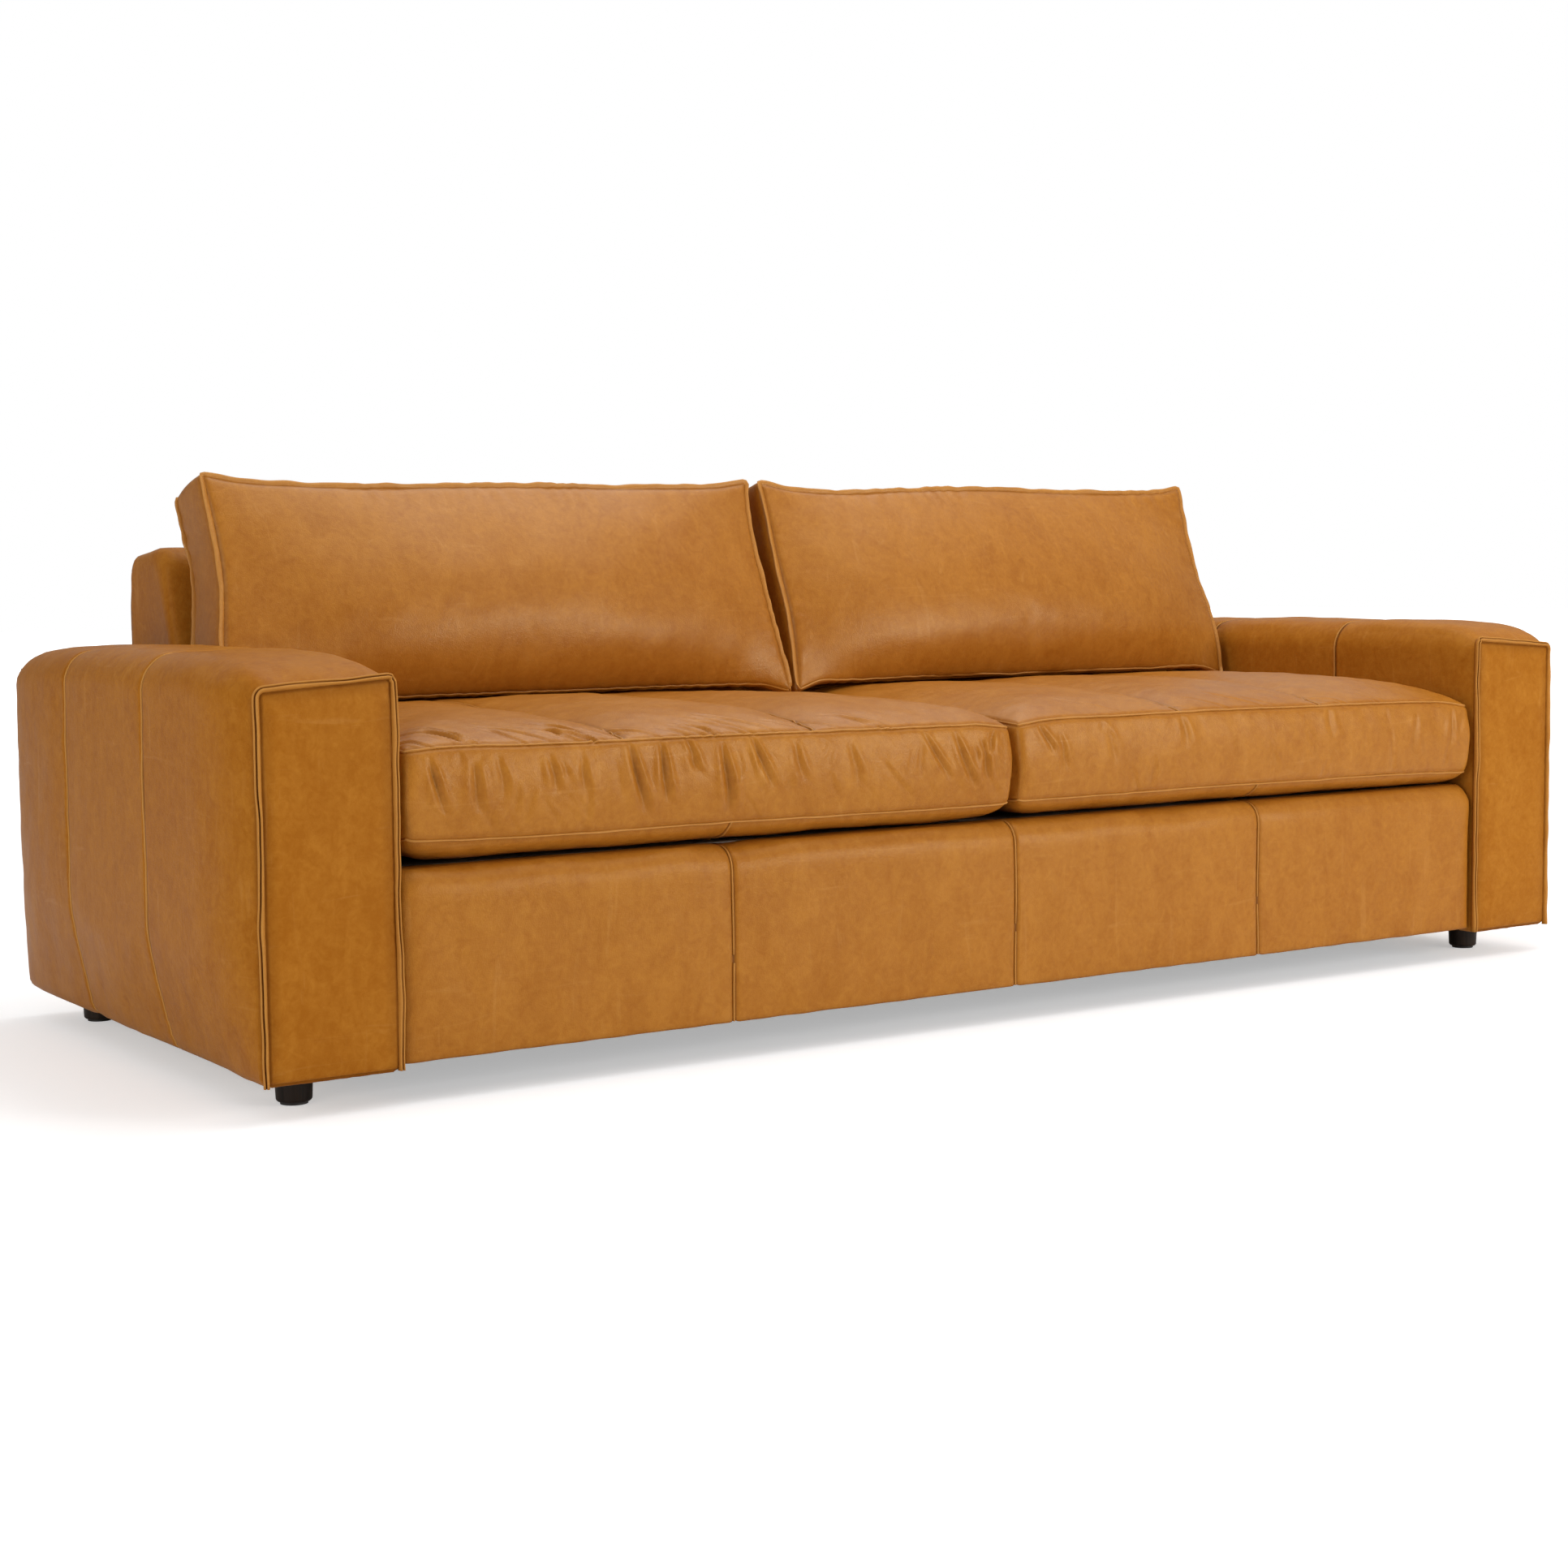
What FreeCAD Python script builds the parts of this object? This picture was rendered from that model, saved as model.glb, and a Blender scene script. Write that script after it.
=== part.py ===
import FreeCAD, Part
import math
import os

from FreeCAD import Vector

# Two-seat leather sofa on low turned wooden legs. Millimetres, +Z up, the front
# faces -Y, and the origin is on the floor under the middle of the sofa.

# ---- overall ----
front_y = -490.0
back_y = 490.0
leather = 2.2
gap = 0.5

# ---- seat frame ----
rail_bottom = 57.0
rail_top = 275.0
board = 25.0
front_rail_y = -458.0
back_rail_y = 420.0
side_rail_x = 997.0
centre_rail_top = 200.0
block_leg = 90.0
block_bottom = 150.0
block_top = 250.0

# ---- arms (right-hand arm, mirrored for the left) ----
arm_inner = 1004.0
arm_frame_inner = 1022.0
arm_board_inner = 1034.0
arm_board_outer = 1180.0
arm_frame_outer = 1184.0
arm_frame_front = -471.0
arm_frame_back = 470.0
arm_frame_bottom = 52.5
arm_frame_top = 540.0
arm_board = 20.0
panel_inner = 1002.5
panel_outer = 1190.5
panel_bottom = 50.0
panel_top = 551.0
panel_front = -486.0
panel_back = -483.0
panel_radius = 16.0
# y, inner x, outer x, bottom, top, top radius, bottom radius
arm_stations = [
    (-483.0, 1008.5, 1185.0, 50.0, 545.0, 17.0, 9.0),
    (-400.0, 1004.0, 1214.0, 47.0, 573.0, 36.0, 20.0),
    (-230.0, 1004.0, 1220.0, 46.0, 580.0, 44.0, 24.0),
    (250.0, 1004.0, 1220.0, 46.0, 580.0, 44.0, 24.0),
    (420.0, 1004.0, 1216.0, 47.0, 575.0, 40.0, 22.0),
    (490.0, 1010.0, 1190.0, 50.0, 552.0, 24.0, 14.0),
]
deck_line = 284.0

# ---- seat springs and deck ----
wire_radius = 2.0
wire_z = 279.0
spring_loop = 20.0
spring_bar = 10.0
spring_loops = 22
spring_start = -446.0
spring_x = [130.0, 320.0, 510.0, 700.0, 890.0]
deck_bottom = 285.0
deck_top = 300.0
deck_cloth_top = 301.5
deck_half = 996.0
deck_front = -428.0
roll_front = -481.0
roll_top = 302.3
roll_radius = 28.0
roll_back = -430.0
roll_half = 1002.0

# ---- back ----
back_half = 1002.0
back_foot = 268.0
back_bend_z = 484.0
back_brow_y = 352.0
back_brow_z = 727.0
back_rear_z = 712.0
post_x = [-985.0, -12.5, 960.0]
post_top = 680.0
post_bend_z = 470.0
top_rail_z = 698.0
strap_x = [120.0, 340.0, 560.0, 780.0]
strap_width = 50.0

# ---- legs ----
leg_x = 1108.0
leg_front_y = -374.0
leg_back_y = 382.0
leg_top_radius = 25.5
leg_bottom_radius = 23.5
leg_edge = 5.0
glide_radius = 18.0
glide = 3.0
bolt_radius = 3.9
bolt_hole = 4.2
barrel_radius = 5.4
barrel_hole = 5.6
flange_radius = 11.0

# ---- cushions ----
seat_inner = 2.0
seat_outer = 999.0
seat_front = -490.0
seat_back = 265.0
seat_bottom = 303.0
seat_top = 485.5
seat_corner = 42.0
seat_top_edge = 30.0
seat_bottom_edge = 20.0
back_cushion_width = 976.0
back_cushion_centre = 494.0
back_cushion_shift = -8.0
# side outline of a back cushion, y and z, with the radius of each corner
back_cushion_outline = [
    (92.0, 486.0, 26.0),
    (110.0, 668.0, 260.0),
    (212.0, 837.0, 22.0),
    (320.0, 801.0, 22.0),
    (314.0, 628.0, 260.0),
    (214.0, 486.0, 26.0),
]
back_cushion_end = 16.0

os.makedirs("parts", exist_ok=True)


def block(x0, x1, y0, y1, z0, z1):
    return Part.makeBox(x1 - x0, y1 - y0, z1 - z0, Vector(x0, y0, z0))


def other_side(shape):
    return shape.mirror(Vector(0, 0, 0), Vector(1, 0, 0))


def rounded_wire(points, place):
    """Closed wire through corner points (a, b, radius), with a tangent arc at each."""
    edges = []
    ends = []
    count = len(points)
    for i in range(count):
        a, b, radius = points[i]
        pa, pb = points[i - 1][0], points[i - 1][1]
        na, nb = points[(i + 1) % count][0], points[(i + 1) % count][1]
        before = Vector(pa - a, pb - b, 0).normalize()
        after = Vector(na - a, nb - b, 0).normalize()
        corner = Vector(a, b, 0)
        if radius <= 0:
            ends.append((corner, corner, None))
            continue
        half = before.getAngle(after) / 2
        reach = radius / math.tan(half)
        start = corner + before * reach
        end = corner + after * reach
        middle_way = (before + after).normalize()
        middle = corner + middle_way * (radius / math.sin(half) - radius)
        ends.append((start, end, middle))
    for i in range(count):
        start, end, middle = ends[i]
        if middle is not None:
            edges.append(Part.Arc(place(start), place(middle), place(end)).toShape())
        following = ends[(i + 1) % count][0]
        if (following - end).Length > 0.001:
            edges.append(Part.LineSegment(place(end), place(following)).toShape())
    return Part.Wire(edges)


def bar_along_x(points, x0, x1):
    """Solid whose side outline is given as (y, z, radius) corners."""
    wire = rounded_wire(points, lambda p: Vector(x0, p.x, p.y))
    return Part.Face(wire).extrude(Vector(x1 - x0, 0, 0))


def slab_along_y(points, y0, y1):
    """Solid whose front outline is given as (x, z, radius) corners."""
    wire = rounded_wire(points, lambda p: Vector(p.x, y0, p.y))
    return Part.Face(wire).extrude(Vector(0, y1 - y0, 0))


def slab_along_z(points, z0, z1):
    """Solid whose plan is given as (x, y, radius) corners."""
    wire = rounded_wire(points, lambda p: Vector(p.x, p.y, z0))
    return Part.Face(wire).extrude(Vector(0, 0, z1 - z0))


def edges_at(shape, test):
    return [e for e in shape.Edges if test(e.CenterOfMass)]


def save(name, shape):
    if not shape.isValid():
        raise ValueError(name + " is not a valid shape")
    shape.exportStep("parts/" + name + ".step")
    print(name, len(shape.Solids), "solids", round(shape.Volume / 1000), "cm3")


def both_sides(name, shape):
    save(name + "_right", shape)
    save(name + "_left", other_side(shape))


# ---------- seat frame ----------
front_rail = block(-arm_frame_inner, arm_frame_inner, front_rail_y, front_rail_y + board,
                   rail_bottom, rail_top)
save("seat_front_rail", front_rail)

back_rail = block(-arm_frame_inner, arm_frame_inner, back_rail_y, back_rail_y + board,
                  rail_bottom, rail_top)
save("seat_back_rail", back_rail)

side_rail = block(side_rail_x, arm_frame_inner, front_rail_y + board, back_rail_y,
                  rail_bottom, rail_top)
bolt_places = [(-300.0, 110.0), (-300.0, 230.0), (300.0, 110.0), (300.0, 230.0)]
for y, z in bolt_places:
    side_rail = side_rail.cut(Part.makeCylinder(bolt_hole, 60, Vector(980, y, z), Vector(1, 0, 0)))
both_sides("seat_side_rail", side_rail)

centre_rail = block(-board / 2, board / 2, front_rail_y + board, back_rail_y,
                    rail_bottom, centre_rail_top)
centre_rail = centre_rail.cut(Part.makeCylinder(bolt_hole, 32, Vector(0, 0, rail_bottom - 1)))
save("seat_centre_rail", centre_rail)

front_corner = front_rail_y + board
corner_plans = []
for sx in (-1, 1):
    for y, turn in ((front_corner, 1), (back_rail_y, -1)):
        corner_plans.append([(sx * side_rail_x, y, 0), (sx * (side_rail_x - block_leg), y, 0),
                             (sx * side_rail_x, y + turn * block_leg, 0)])
corner_blocks = [slab_along_z(plan, block_bottom, block_top) for plan in corner_plans]
save("corner_blocks", Part.makeCompound(corner_blocks))

# ---------- arm frames ----------
arm_front_board = block(arm_board_inner, arm_board_outer, arm_frame_front,
                        arm_frame_front + arm_board, arm_frame_bottom, arm_frame_top)
both_sides("arm_front_board", arm_front_board)

arm_rear_board = block(arm_board_inner, arm_board_outer, arm_frame_back - arm_board,
                       arm_frame_back, arm_frame_bottom, arm_frame_top)
both_sides("arm_rear_board", arm_rear_board)

arm_top_board = block(arm_board_inner, arm_board_outer, arm_frame_front + arm_board,
                      arm_frame_back - arm_board, arm_frame_top - arm_board, arm_frame_top)
both_sides("arm_top_board", arm_top_board)

arm_base_board = block(arm_board_inner, arm_board_outer, arm_frame_front + arm_board,
                       arm_frame_back - arm_board, arm_frame_bottom,
                       arm_frame_bottom + arm_board)
leg_places = [(leg_x, leg_front_y), (leg_x, leg_back_y)]
for x, y in leg_places:
    arm_base_board = arm_base_board.cut(
        Part.makeCylinder(barrel_hole, arm_board + 2, Vector(x, y, arm_frame_bottom - 1)))
both_sides("arm_base_board", arm_base_board)

arm_inner_panel = block(arm_frame_inner, arm_board_inner, arm_frame_front, arm_frame_back,
                        arm_frame_bottom, arm_frame_top)
for y, z in bolt_places:
    arm_inner_panel = arm_inner_panel.cut(
        Part.makeCylinder(barrel_hole, 30, Vector(1015, y, z), Vector(1, 0, 0)))
both_sides("arm_inner_panel", arm_inner_panel)

arm_outer_panel = block(arm_board_outer, arm_frame_outer, arm_frame_front, arm_frame_back,
                        arm_frame_bottom, arm_frame_top)
both_sides("arm_outer_panel", arm_outer_panel)

# bolts that hold each arm to the seat frame, with their tee nuts
arm_bolts = []
arm_tee_nuts = []
for y, z in bolt_places:
    along = Vector(1, 0, 0)
    shank = Part.makeCylinder(bolt_radius, 46, Vector(side_rail_x - 1, y, z), along)
    head = Part.makeCylinder(6.5, 5, Vector(side_rail_x - 5, y, z), along)
    bolt = head.fuse(shank).removeSplitter()
    flange = Part.makeCylinder(flange_radius, 1.5, Vector(arm_board_inner, y, z), along)
    barrel = Part.makeCylinder(barrel_radius, 9, Vector(arm_board_inner - 8, y, z), along)
    nut = flange.fuse(barrel).cut(
        Part.makeCylinder(bolt_radius + 0.1, 30, Vector(arm_frame_inner, y, z), along))
    arm_bolts += [bolt, other_side(bolt)]
    arm_tee_nuts += [nut, other_side(nut)]
save("arm_bolts", Part.makeCompound(arm_bolts))
save("arm_tee_nuts", Part.makeCompound(arm_tee_nuts))


# ---------- arm upholstery ----------
def arm_loft(inset, last_y):
    wires = []
    for y, inner, outer, bottom, top, top_radius, bottom_radius in arm_stations:
        station_y = min(y, last_y)
        corners = [
            (inner + inset, bottom + inset, bottom_radius - inset),
            (outer - inset, bottom + inset, bottom_radius - inset),
            (outer - inset, top - inset, top_radius - inset),
            (inner + inset, top - inset, top_radius - inset),
        ]
        wires.append(rounded_wire(corners, lambda p, y=station_y: Vector(p.x, y, p.y)))
    return Part.makeLoft(wires, True, True)


arm_outside = arm_loft(0.0, back_y)
arm_inside = arm_loft(leather, back_y - leather)
under_window = block(arm_inner - 10, 1176, -450, 450, 30, arm_frame_bottom - 0.5)
below_deck = block(arm_inner - 10, arm_frame_inner, -460, arm_frame_back, 30, deck_line)
arm_cover = arm_outside.cut(arm_inside).cut(under_window).cut(below_deck)
both_sides("arm_cover", arm_cover)

arm_frame_space = block(arm_frame_inner, arm_frame_outer, arm_frame_front, arm_frame_back,
                        0, arm_frame_top)
arm_pad = arm_inside.cut(arm_frame_space).cut(below_deck)
both_sides("arm_pad", arm_pad)

arm_front_panel = slab_along_y(
    [(panel_inner, panel_bottom, panel_radius / 2), (panel_outer, panel_bottom, panel_radius / 2),
     (panel_outer, panel_top, panel_radius), (panel_inner, panel_top, panel_radius)],
    panel_front, panel_back)
both_sides("arm_front_panel", arm_front_panel)


# ---------- seat springs ----------
def sinuous_spring(x):
    edges = []
    side = 1
    y = spring_start
    for i in range(spring_loops):
        start = Vector(x - side * spring_bar, y, wire_z)
        end = Vector(x + side * spring_bar, y, wire_z)
        edges.append(Part.LineSegment(start, end).toShape())
        bow = Vector(end.x + side * spring_loop, y + spring_loop, wire_z)
        following = Vector(end.x, y + 2 * spring_loop, wire_z)
        edges.append(Part.Arc(end, bow, following).toShape())
        y += 2 * spring_loop
        side = -side
    edges.append(Part.LineSegment(Vector(x - side * spring_bar, y, wire_z),
                                  Vector(x + side * spring_bar, y, wire_z)).toShape())
    path = Part.Wire(edges)
    ring = Part.Wire(Part.makeCircle(wire_radius, Vector(x - spring_bar, spring_start, wire_z),
                                     Vector(1, 0, 0)))
    return path.makePipeShell([ring], True, False)


first_spring = sinuous_spring(spring_x[0])
springs = []
for x in spring_x:
    spring = first_spring.copy()
    spring.translate(Vector(x - spring_x[0], 0, 0))
    springs.append(spring)
both_sides("seat_springs", Part.makeCompound(springs))


def spring_clip(x, y, opening):
    outer = block(x - 7, x + 7, y - 5, y + 5, rail_top, 283)
    room = block(x - 8, x + 8, y - 3, y + 3, 276.2, 281.8)
    mouth = block(x - 8, x + 8, min(y, y + 6 * opening), max(y, y + 6 * opening), 277.5, 280.5)
    return outer.cut(room).cut(mouth)


clips = []
spring_end = spring_start + 2 * spring_loop * spring_loops
for x in spring_x:
    for clip in (spring_clip(x, spring_start, 1), spring_clip(x, spring_end, -1)):
        clips += [clip, other_side(clip)]
save("spring_clips", Part.makeCompound(clips))

# ---------- deck and front roll ----------
deck_pad = block(-deck_half, deck_half, deck_front, back_foot - 2, deck_bottom, deck_top)
save("deck_pad", deck_pad)
deck_cloth = block(-deck_half - 2, deck_half + 2, deck_front, back_foot - 1, deck_top,
                   deck_cloth_top)
save("deck_cloth", deck_cloth)


def roll_outline(inset, rear):
    return [
        (roll_front + inset, rail_bottom - leather + inset, 0),
        (rear, rail_bottom - leather + inset, 0),
        (rear, roll_top - inset, 0),
        (roll_front + inset, roll_top - inset, roll_radius - inset),
    ]


roll_outside = bar_along_x(roll_outline(0.0, roll_back), -roll_half, roll_half)
roll_inside = bar_along_x(roll_outline(2.0, roll_back + 20), -roll_half - 5, roll_half + 5)
front_rail_cover = roll_outside.cut(roll_inside)
save("front_rail_cover", front_rail_cover)

roll_core = bar_along_x(roll_outline(2.0, roll_back), -roll_half, roll_half)
rail_space = block(-1100, 1100, front_rail_y, 0, 0, 287)
front_rail_pad = roll_core.cut(rail_space)
save("front_rail_pad", front_rail_pad)

dust_cover = block(-998, 998, -455, 466, 53, 54.5)
dust_cover = dust_cover.cut(Part.makeCylinder(30, 10, Vector(0, 0, 50)))
save("dust_cover", dust_cover)

# ---------- back frame ----------
post_outline = [
    (445.0, rail_bottom, 0), (445.0, 277.0, 0), (300.0, 277.0, 0), (300.0, post_bend_z, 0),
    (372.0, post_top, 0), (470.0, post_top, 0), (470.0, rail_bottom, 0),
]
for name, x in zip(("back_post_left", "back_post_centre", "back_post_right"), post_x):
    save(name, bar_along_x(post_outline, x, x + board))

back_top_rail = block(-985, 985, 374, 470, post_top, top_rail_z)
save("back_top_rail", back_top_rail)
back_lower_rail = block(-985, 985, 282, 300, 300, 370)
save("back_lower_rail", back_lower_rail)

strap_outline = [
    (297.8, 371.0, 0), (299.6, 371.0, 0), (299.6, post_bend_z, 0),
    (371.6, post_top, 0), (369.8, post_top, 0), (297.8, post_bend_z, 0),
]
straps = []
for x in strap_x:
    strap = bar_along_x(strap_outline, x - strap_width / 2, x + strap_width / 2)
    straps += [strap, other_side(strap)]
save("back_webbing", Part.makeCompound(straps))

# ---------- back upholstery ----------
rear_face = back_y - leather - 0.3
cover_outline = [
    (back_foot, 286.0, 0), (back_foot, back_bend_z, 60.0), (back_brow_y, back_brow_z, 32.0),
    (rear_face, back_rear_z, 16.0), (rear_face, 286.0, 0),
]
lining_outline = [
    (back_foot + leather, 270.0, 0), (back_foot + leather, back_bend_z - 0.4, 60.0),
    (back_brow_y + 1.5, back_brow_z - 2.4, 30.0), (rear_face + 20, back_rear_z - 4.4, 0),
    (rear_face + 20, 270.0, 0),
]
back_block = bar_along_x(cover_outline, -back_half, back_half)
back_lining = bar_along_x(lining_outline, -back_half + leather, back_half - leather)
save("inside_back_cover", back_block.cut(back_lining))

back_frame_outline = [
    (281.0, 270.0, 0), (281.0, 372.0, 0), (297.4, 372.0, 0), (297.4, post_bend_z, 0),
    (369.4, post_top, 0), (371.0, top_rail_z + 1, 0), (473.0, top_rail_z + 1, 0), (473.0, 270.0, 0),
]
back_core = back_block.common(back_lining)
back_pad = back_core.cut(bar_along_x(back_frame_outline, -987, 987))
save("back_pad", back_pad)

outside_back_cover = block(-back_half, back_half, back_y - leather, back_y, rail_bottom,
                           back_rear_z - 10)
save("outside_back_cover", outside_back_cover)


# ---------- legs ----------
def turned_leg(x, y, top):
    profile = [
        Vector(0, 0, glide), Vector(leg_bottom_radius - leg_edge, 0, glide),
        Vector(leg_bottom_radius, 0, glide + leg_edge), Vector(leg_top_radius, 0, top),
        Vector(0, 0, top),
    ]
    bend = Vector(leg_bottom_radius - leg_edge * (1 - math.sqrt(0.5)), 0,
                  glide + leg_edge * (1 - math.sqrt(0.5)))
    edges = [
        Part.LineSegment(profile[0], profile[1]).toShape(),
        Part.Arc(profile[1], bend, profile[2]).toShape(),
        Part.LineSegment(profile[2], profile[3]).toShape(),
        Part.LineSegment(profile[3], profile[4]).toShape(),
        Part.LineSegment(profile[4], profile[0]).toShape(),
    ]
    body = Part.Face(Part.Wire(edges)).revolve(Vector(0, 0, 0), Vector(0, 0, 1), 360)
    hole = Part.makeCylinder(bolt_radius + 0.1, top, Vector(0, 0, 18))
    leg = body.cut(hole)
    leg.translate(Vector(x, y, 0))
    return leg


both_sides("leg_front", turned_leg(leg_x, leg_front_y, arm_frame_bottom))
both_sides("leg_rear", turned_leg(leg_x, leg_back_y, arm_frame_bottom))
save("leg_centre", turned_leg(0, 0, rail_bottom))

leg_bolts = [Part.makeCylinder(bolt_radius, 66, Vector(0, 0, 19))]
leg_tee_nuts = []
glides = [Part.makeCylinder(glide_radius, glide)]
for x, y in leg_places:
    bolt = Part.makeCylinder(bolt_radius, 59, Vector(x, y, 19))
    flange = Part.makeCylinder(flange_radius, 1.5, Vector(x, y, arm_frame_bottom + arm_board))
    barrel = Part.makeCylinder(barrel_radius, 11, Vector(x, y, arm_frame_bottom + arm_board - 10))
    nut = flange.fuse(barrel).cut(Part.makeCylinder(bolt_radius + 0.1, 60, Vector(x, y, 30)))
    disc = Part.makeCylinder(glide_radius, glide, Vector(x, y, 0))
    leg_bolts += [bolt, other_side(bolt)]
    leg_tee_nuts += [nut, other_side(nut)]
    glides += [disc, other_side(disc)]
save("leg_bolts", Part.makeCompound(leg_bolts))
save("leg_tee_nuts", Part.makeCompound(leg_tee_nuts))
save("leg_glides", Part.makeCompound(glides))


# ---------- loose seat cushions ----------
def seat_cushion(inset):
    x0, x1 = seat_inner + inset, seat_outer - inset
    y0, y1 = seat_front + inset, seat_back - inset
    z0, z1 = seat_bottom + inset, seat_top - inset
    corner = seat_corner - inset
    body = slab_along_z([(x0, y0, corner), (x1, y0, corner), (x1, y1, corner), (x0, y1, corner)],
                        z0, z1)
    body = body.makeFillet(seat_top_edge - inset, edges_at(body, lambda p: p.z > z1 - 0.1))
    return body.makeFillet(seat_bottom_edge - inset, edges_at(body, lambda p: p.z < z0 + 0.1))


seat_body = seat_cushion(0.0)
seat_core = seat_cushion(leather)
both_sides("seat_cushion_cover", seat_body.cut(seat_core))
both_sides("seat_cushion_foam", seat_cushion(leather + 0.2))


# ---------- loose back cushions ----------
def back_cushion(inset):
    middle_y = sum(p[0] for p in back_cushion_outline) / len(back_cushion_outline)
    outline = []
    for y, z, radius in back_cushion_outline:
        toward = inset if y < middle_y else -inset
        lift = inset if z < 500 else 0.0
        drop = inset if z > 780 else 0.0
        outline.append((y + toward, z + lift - drop, radius - inset))
    x0 = -back_cushion_width / 2 + inset
    x1 = back_cushion_width / 2 - inset
    body = bar_along_x(outline, x0, x1)
    ends = edges_at(body, lambda p: abs(p.x) > x1 - 0.1)
    return body.makeFillet(back_cushion_end - inset, ends)


back_body = back_cushion(0.0)
back_fill = back_cushion(leather)
back_shell = back_body.cut(back_fill)
filling = back_cushion(leather + 0.2)
for side, centre in (("left", -back_cushion_centre), ("right", back_cushion_centre)):
    offset = Vector(centre + back_cushion_shift, 0, 0)
    shell = back_shell.copy()
    shell.translate(offset)
    save("back_cushion_cover_" + side, shell)
    fill = filling.copy()
    fill.translate(offset)
    save("back_cushion_fill_" + side, fill)
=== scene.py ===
import math

import bpy
import numpy as np
from mathutils import Matrix, Vector


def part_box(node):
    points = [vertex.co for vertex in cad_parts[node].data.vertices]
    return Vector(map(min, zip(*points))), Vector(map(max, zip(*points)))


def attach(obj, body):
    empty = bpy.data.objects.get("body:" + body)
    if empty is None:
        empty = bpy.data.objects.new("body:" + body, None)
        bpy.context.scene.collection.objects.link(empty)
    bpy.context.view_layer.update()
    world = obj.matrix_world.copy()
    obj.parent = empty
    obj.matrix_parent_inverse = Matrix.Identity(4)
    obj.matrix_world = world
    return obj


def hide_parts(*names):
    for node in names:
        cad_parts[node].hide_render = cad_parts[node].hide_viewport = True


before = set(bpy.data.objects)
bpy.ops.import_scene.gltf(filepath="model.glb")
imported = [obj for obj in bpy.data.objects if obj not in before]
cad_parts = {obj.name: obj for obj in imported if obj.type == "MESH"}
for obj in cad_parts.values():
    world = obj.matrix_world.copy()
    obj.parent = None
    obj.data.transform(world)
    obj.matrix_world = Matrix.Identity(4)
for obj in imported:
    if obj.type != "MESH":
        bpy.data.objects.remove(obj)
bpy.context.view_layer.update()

sides = {"left": -1, "right": 1}
tiny = 1e-5              # points this near to a cut lie on it
besideSeam = (-0.009, -0.005, -0.0025, 0.0, 0.0025, 0.005, 0.009)    # close cuts at a seam
seamWave = 0.0004        # how far a sewn edge wanders
fullTurn = 2 * math.pi


# meshes
def clearSelection():
    if bpy.context.object and bpy.context.object.mode != "OBJECT":
        bpy.ops.object.mode_set(mode="OBJECT")
    bpy.ops.object.select_all(action="DESELECT")


def makeActive(piece):
    clearSelection()
    piece.select_set(True)
    bpy.context.view_layer.objects.active = piece


def readPoints(piece):
    co = np.empty(len(piece.data.vertices) * 3)
    piece.data.vertices.foreach_get("co", co)
    return co.reshape(-1, 3)


def writePoints(piece, co):
    piece.data.vertices.foreach_set("co", np.ascontiguousarray(co).ravel())
    piece.data.update()


def readNormals(piece):
    normals = np.empty(len(piece.data.vertices) * 3)
    piece.data.vertex_normals.foreach_get("vector", normals)
    return normals.reshape(-1, 3)


def writeValue(piece, name, values):
    attribute = piece.data.attributes.get(name)
    if attribute is None:
        attribute = piece.data.attributes.new(name, "FLOAT", "POINT")
    attribute.data.foreach_set("value", np.ascontiguousarray(values, dtype=np.float32))


def writeFlat(piece, co):
    attribute = piece.data.attributes.new("flat", "FLOAT_VECTOR", "POINT")
    attribute.data.foreach_set("vector", np.ascontiguousarray(co).ravel())


def readFlat(piece):
    flat = np.empty(len(piece.data.vertices) * 3)
    piece.data.attributes["flat"].data.foreach_get("vector", flat)
    return flat.reshape(-1, 3)


def spread(low, high, step, keep=(), near=(), fine=()):
    # places of the cuts between low and high, with some that have to be there
    # and a few close ones beside each place in near
    count = max(2, round((high - low) / step))
    regular = [low + (high - low) * i / count for i in range(1, count)]
    wanted = list(keep) + [place + offset for place in near for offset in fine]
    wanted = [w for w in wanted if low + 0.0005 < w < high - 0.0005]
    clear = min(step * 0.45, 0.004 if fine else step)
    regular = [r for r in regular if all(abs(r - w) > clear for w in wanted)]
    return sorted(set(round(v, 6) for v in regular + wanted))


def griddedBox(name, low, high, cuts):
    # a box whose skin is cut into a grid, ready to be shaped like a sewn cover
    clearSelection()
    low, high = Vector(low), Vector(high)
    bpy.ops.mesh.primitive_cube_add(size=1, location=(low + high) / 2)
    piece = bpy.context.object
    piece.name = name
    piece.data.name = name
    piece.scale = high - low
    bpy.ops.object.transform_apply(location=True, rotation=False, scale=True)
    bpy.ops.object.mode_set(mode="EDIT")
    for axis in sorted(range(3), key=lambda a: -len(cuts[a])):
        direction = Vector((0, 0, 0))
        direction[axis] = 1
        for place in cuts[axis]:
            bpy.ops.mesh.select_all(action="SELECT")
            bpy.ops.mesh.bisect(plane_co=direction * place, plane_no=direction)
    bpy.ops.object.mode_set(mode="OBJECT")
    writeFlat(piece, readPoints(piece))
    return piece


def removeFaces(piece, test):
    makeActive(piece)
    bpy.ops.object.mode_set(mode="EDIT")
    bpy.ops.mesh.select_mode(type="FACE")
    bpy.ops.mesh.select_all(action="DESELECT")
    bpy.ops.object.mode_set(mode="OBJECT")
    for face in piece.data.polygons:
        face.select = bool(test(face.center, face.normal))
    bpy.ops.object.mode_set(mode="EDIT")
    bpy.ops.mesh.delete(type="FACE")
    bpy.ops.mesh.select_mode(type="VERT")
    bpy.ops.object.mode_set(mode="OBJECT")


def applyModifiers(piece):
    makeActive(piece)
    for modifier in list(piece.modifiers):
        bpy.ops.object.modifier_apply(modifier=modifier.name)


def thicken(piece, thickness):
    solid = piece.modifiers.new("thickness", "SOLIDIFY")
    solid.thickness = thickness
    solid.offset = -1
    applyModifiers(piece)


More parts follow.
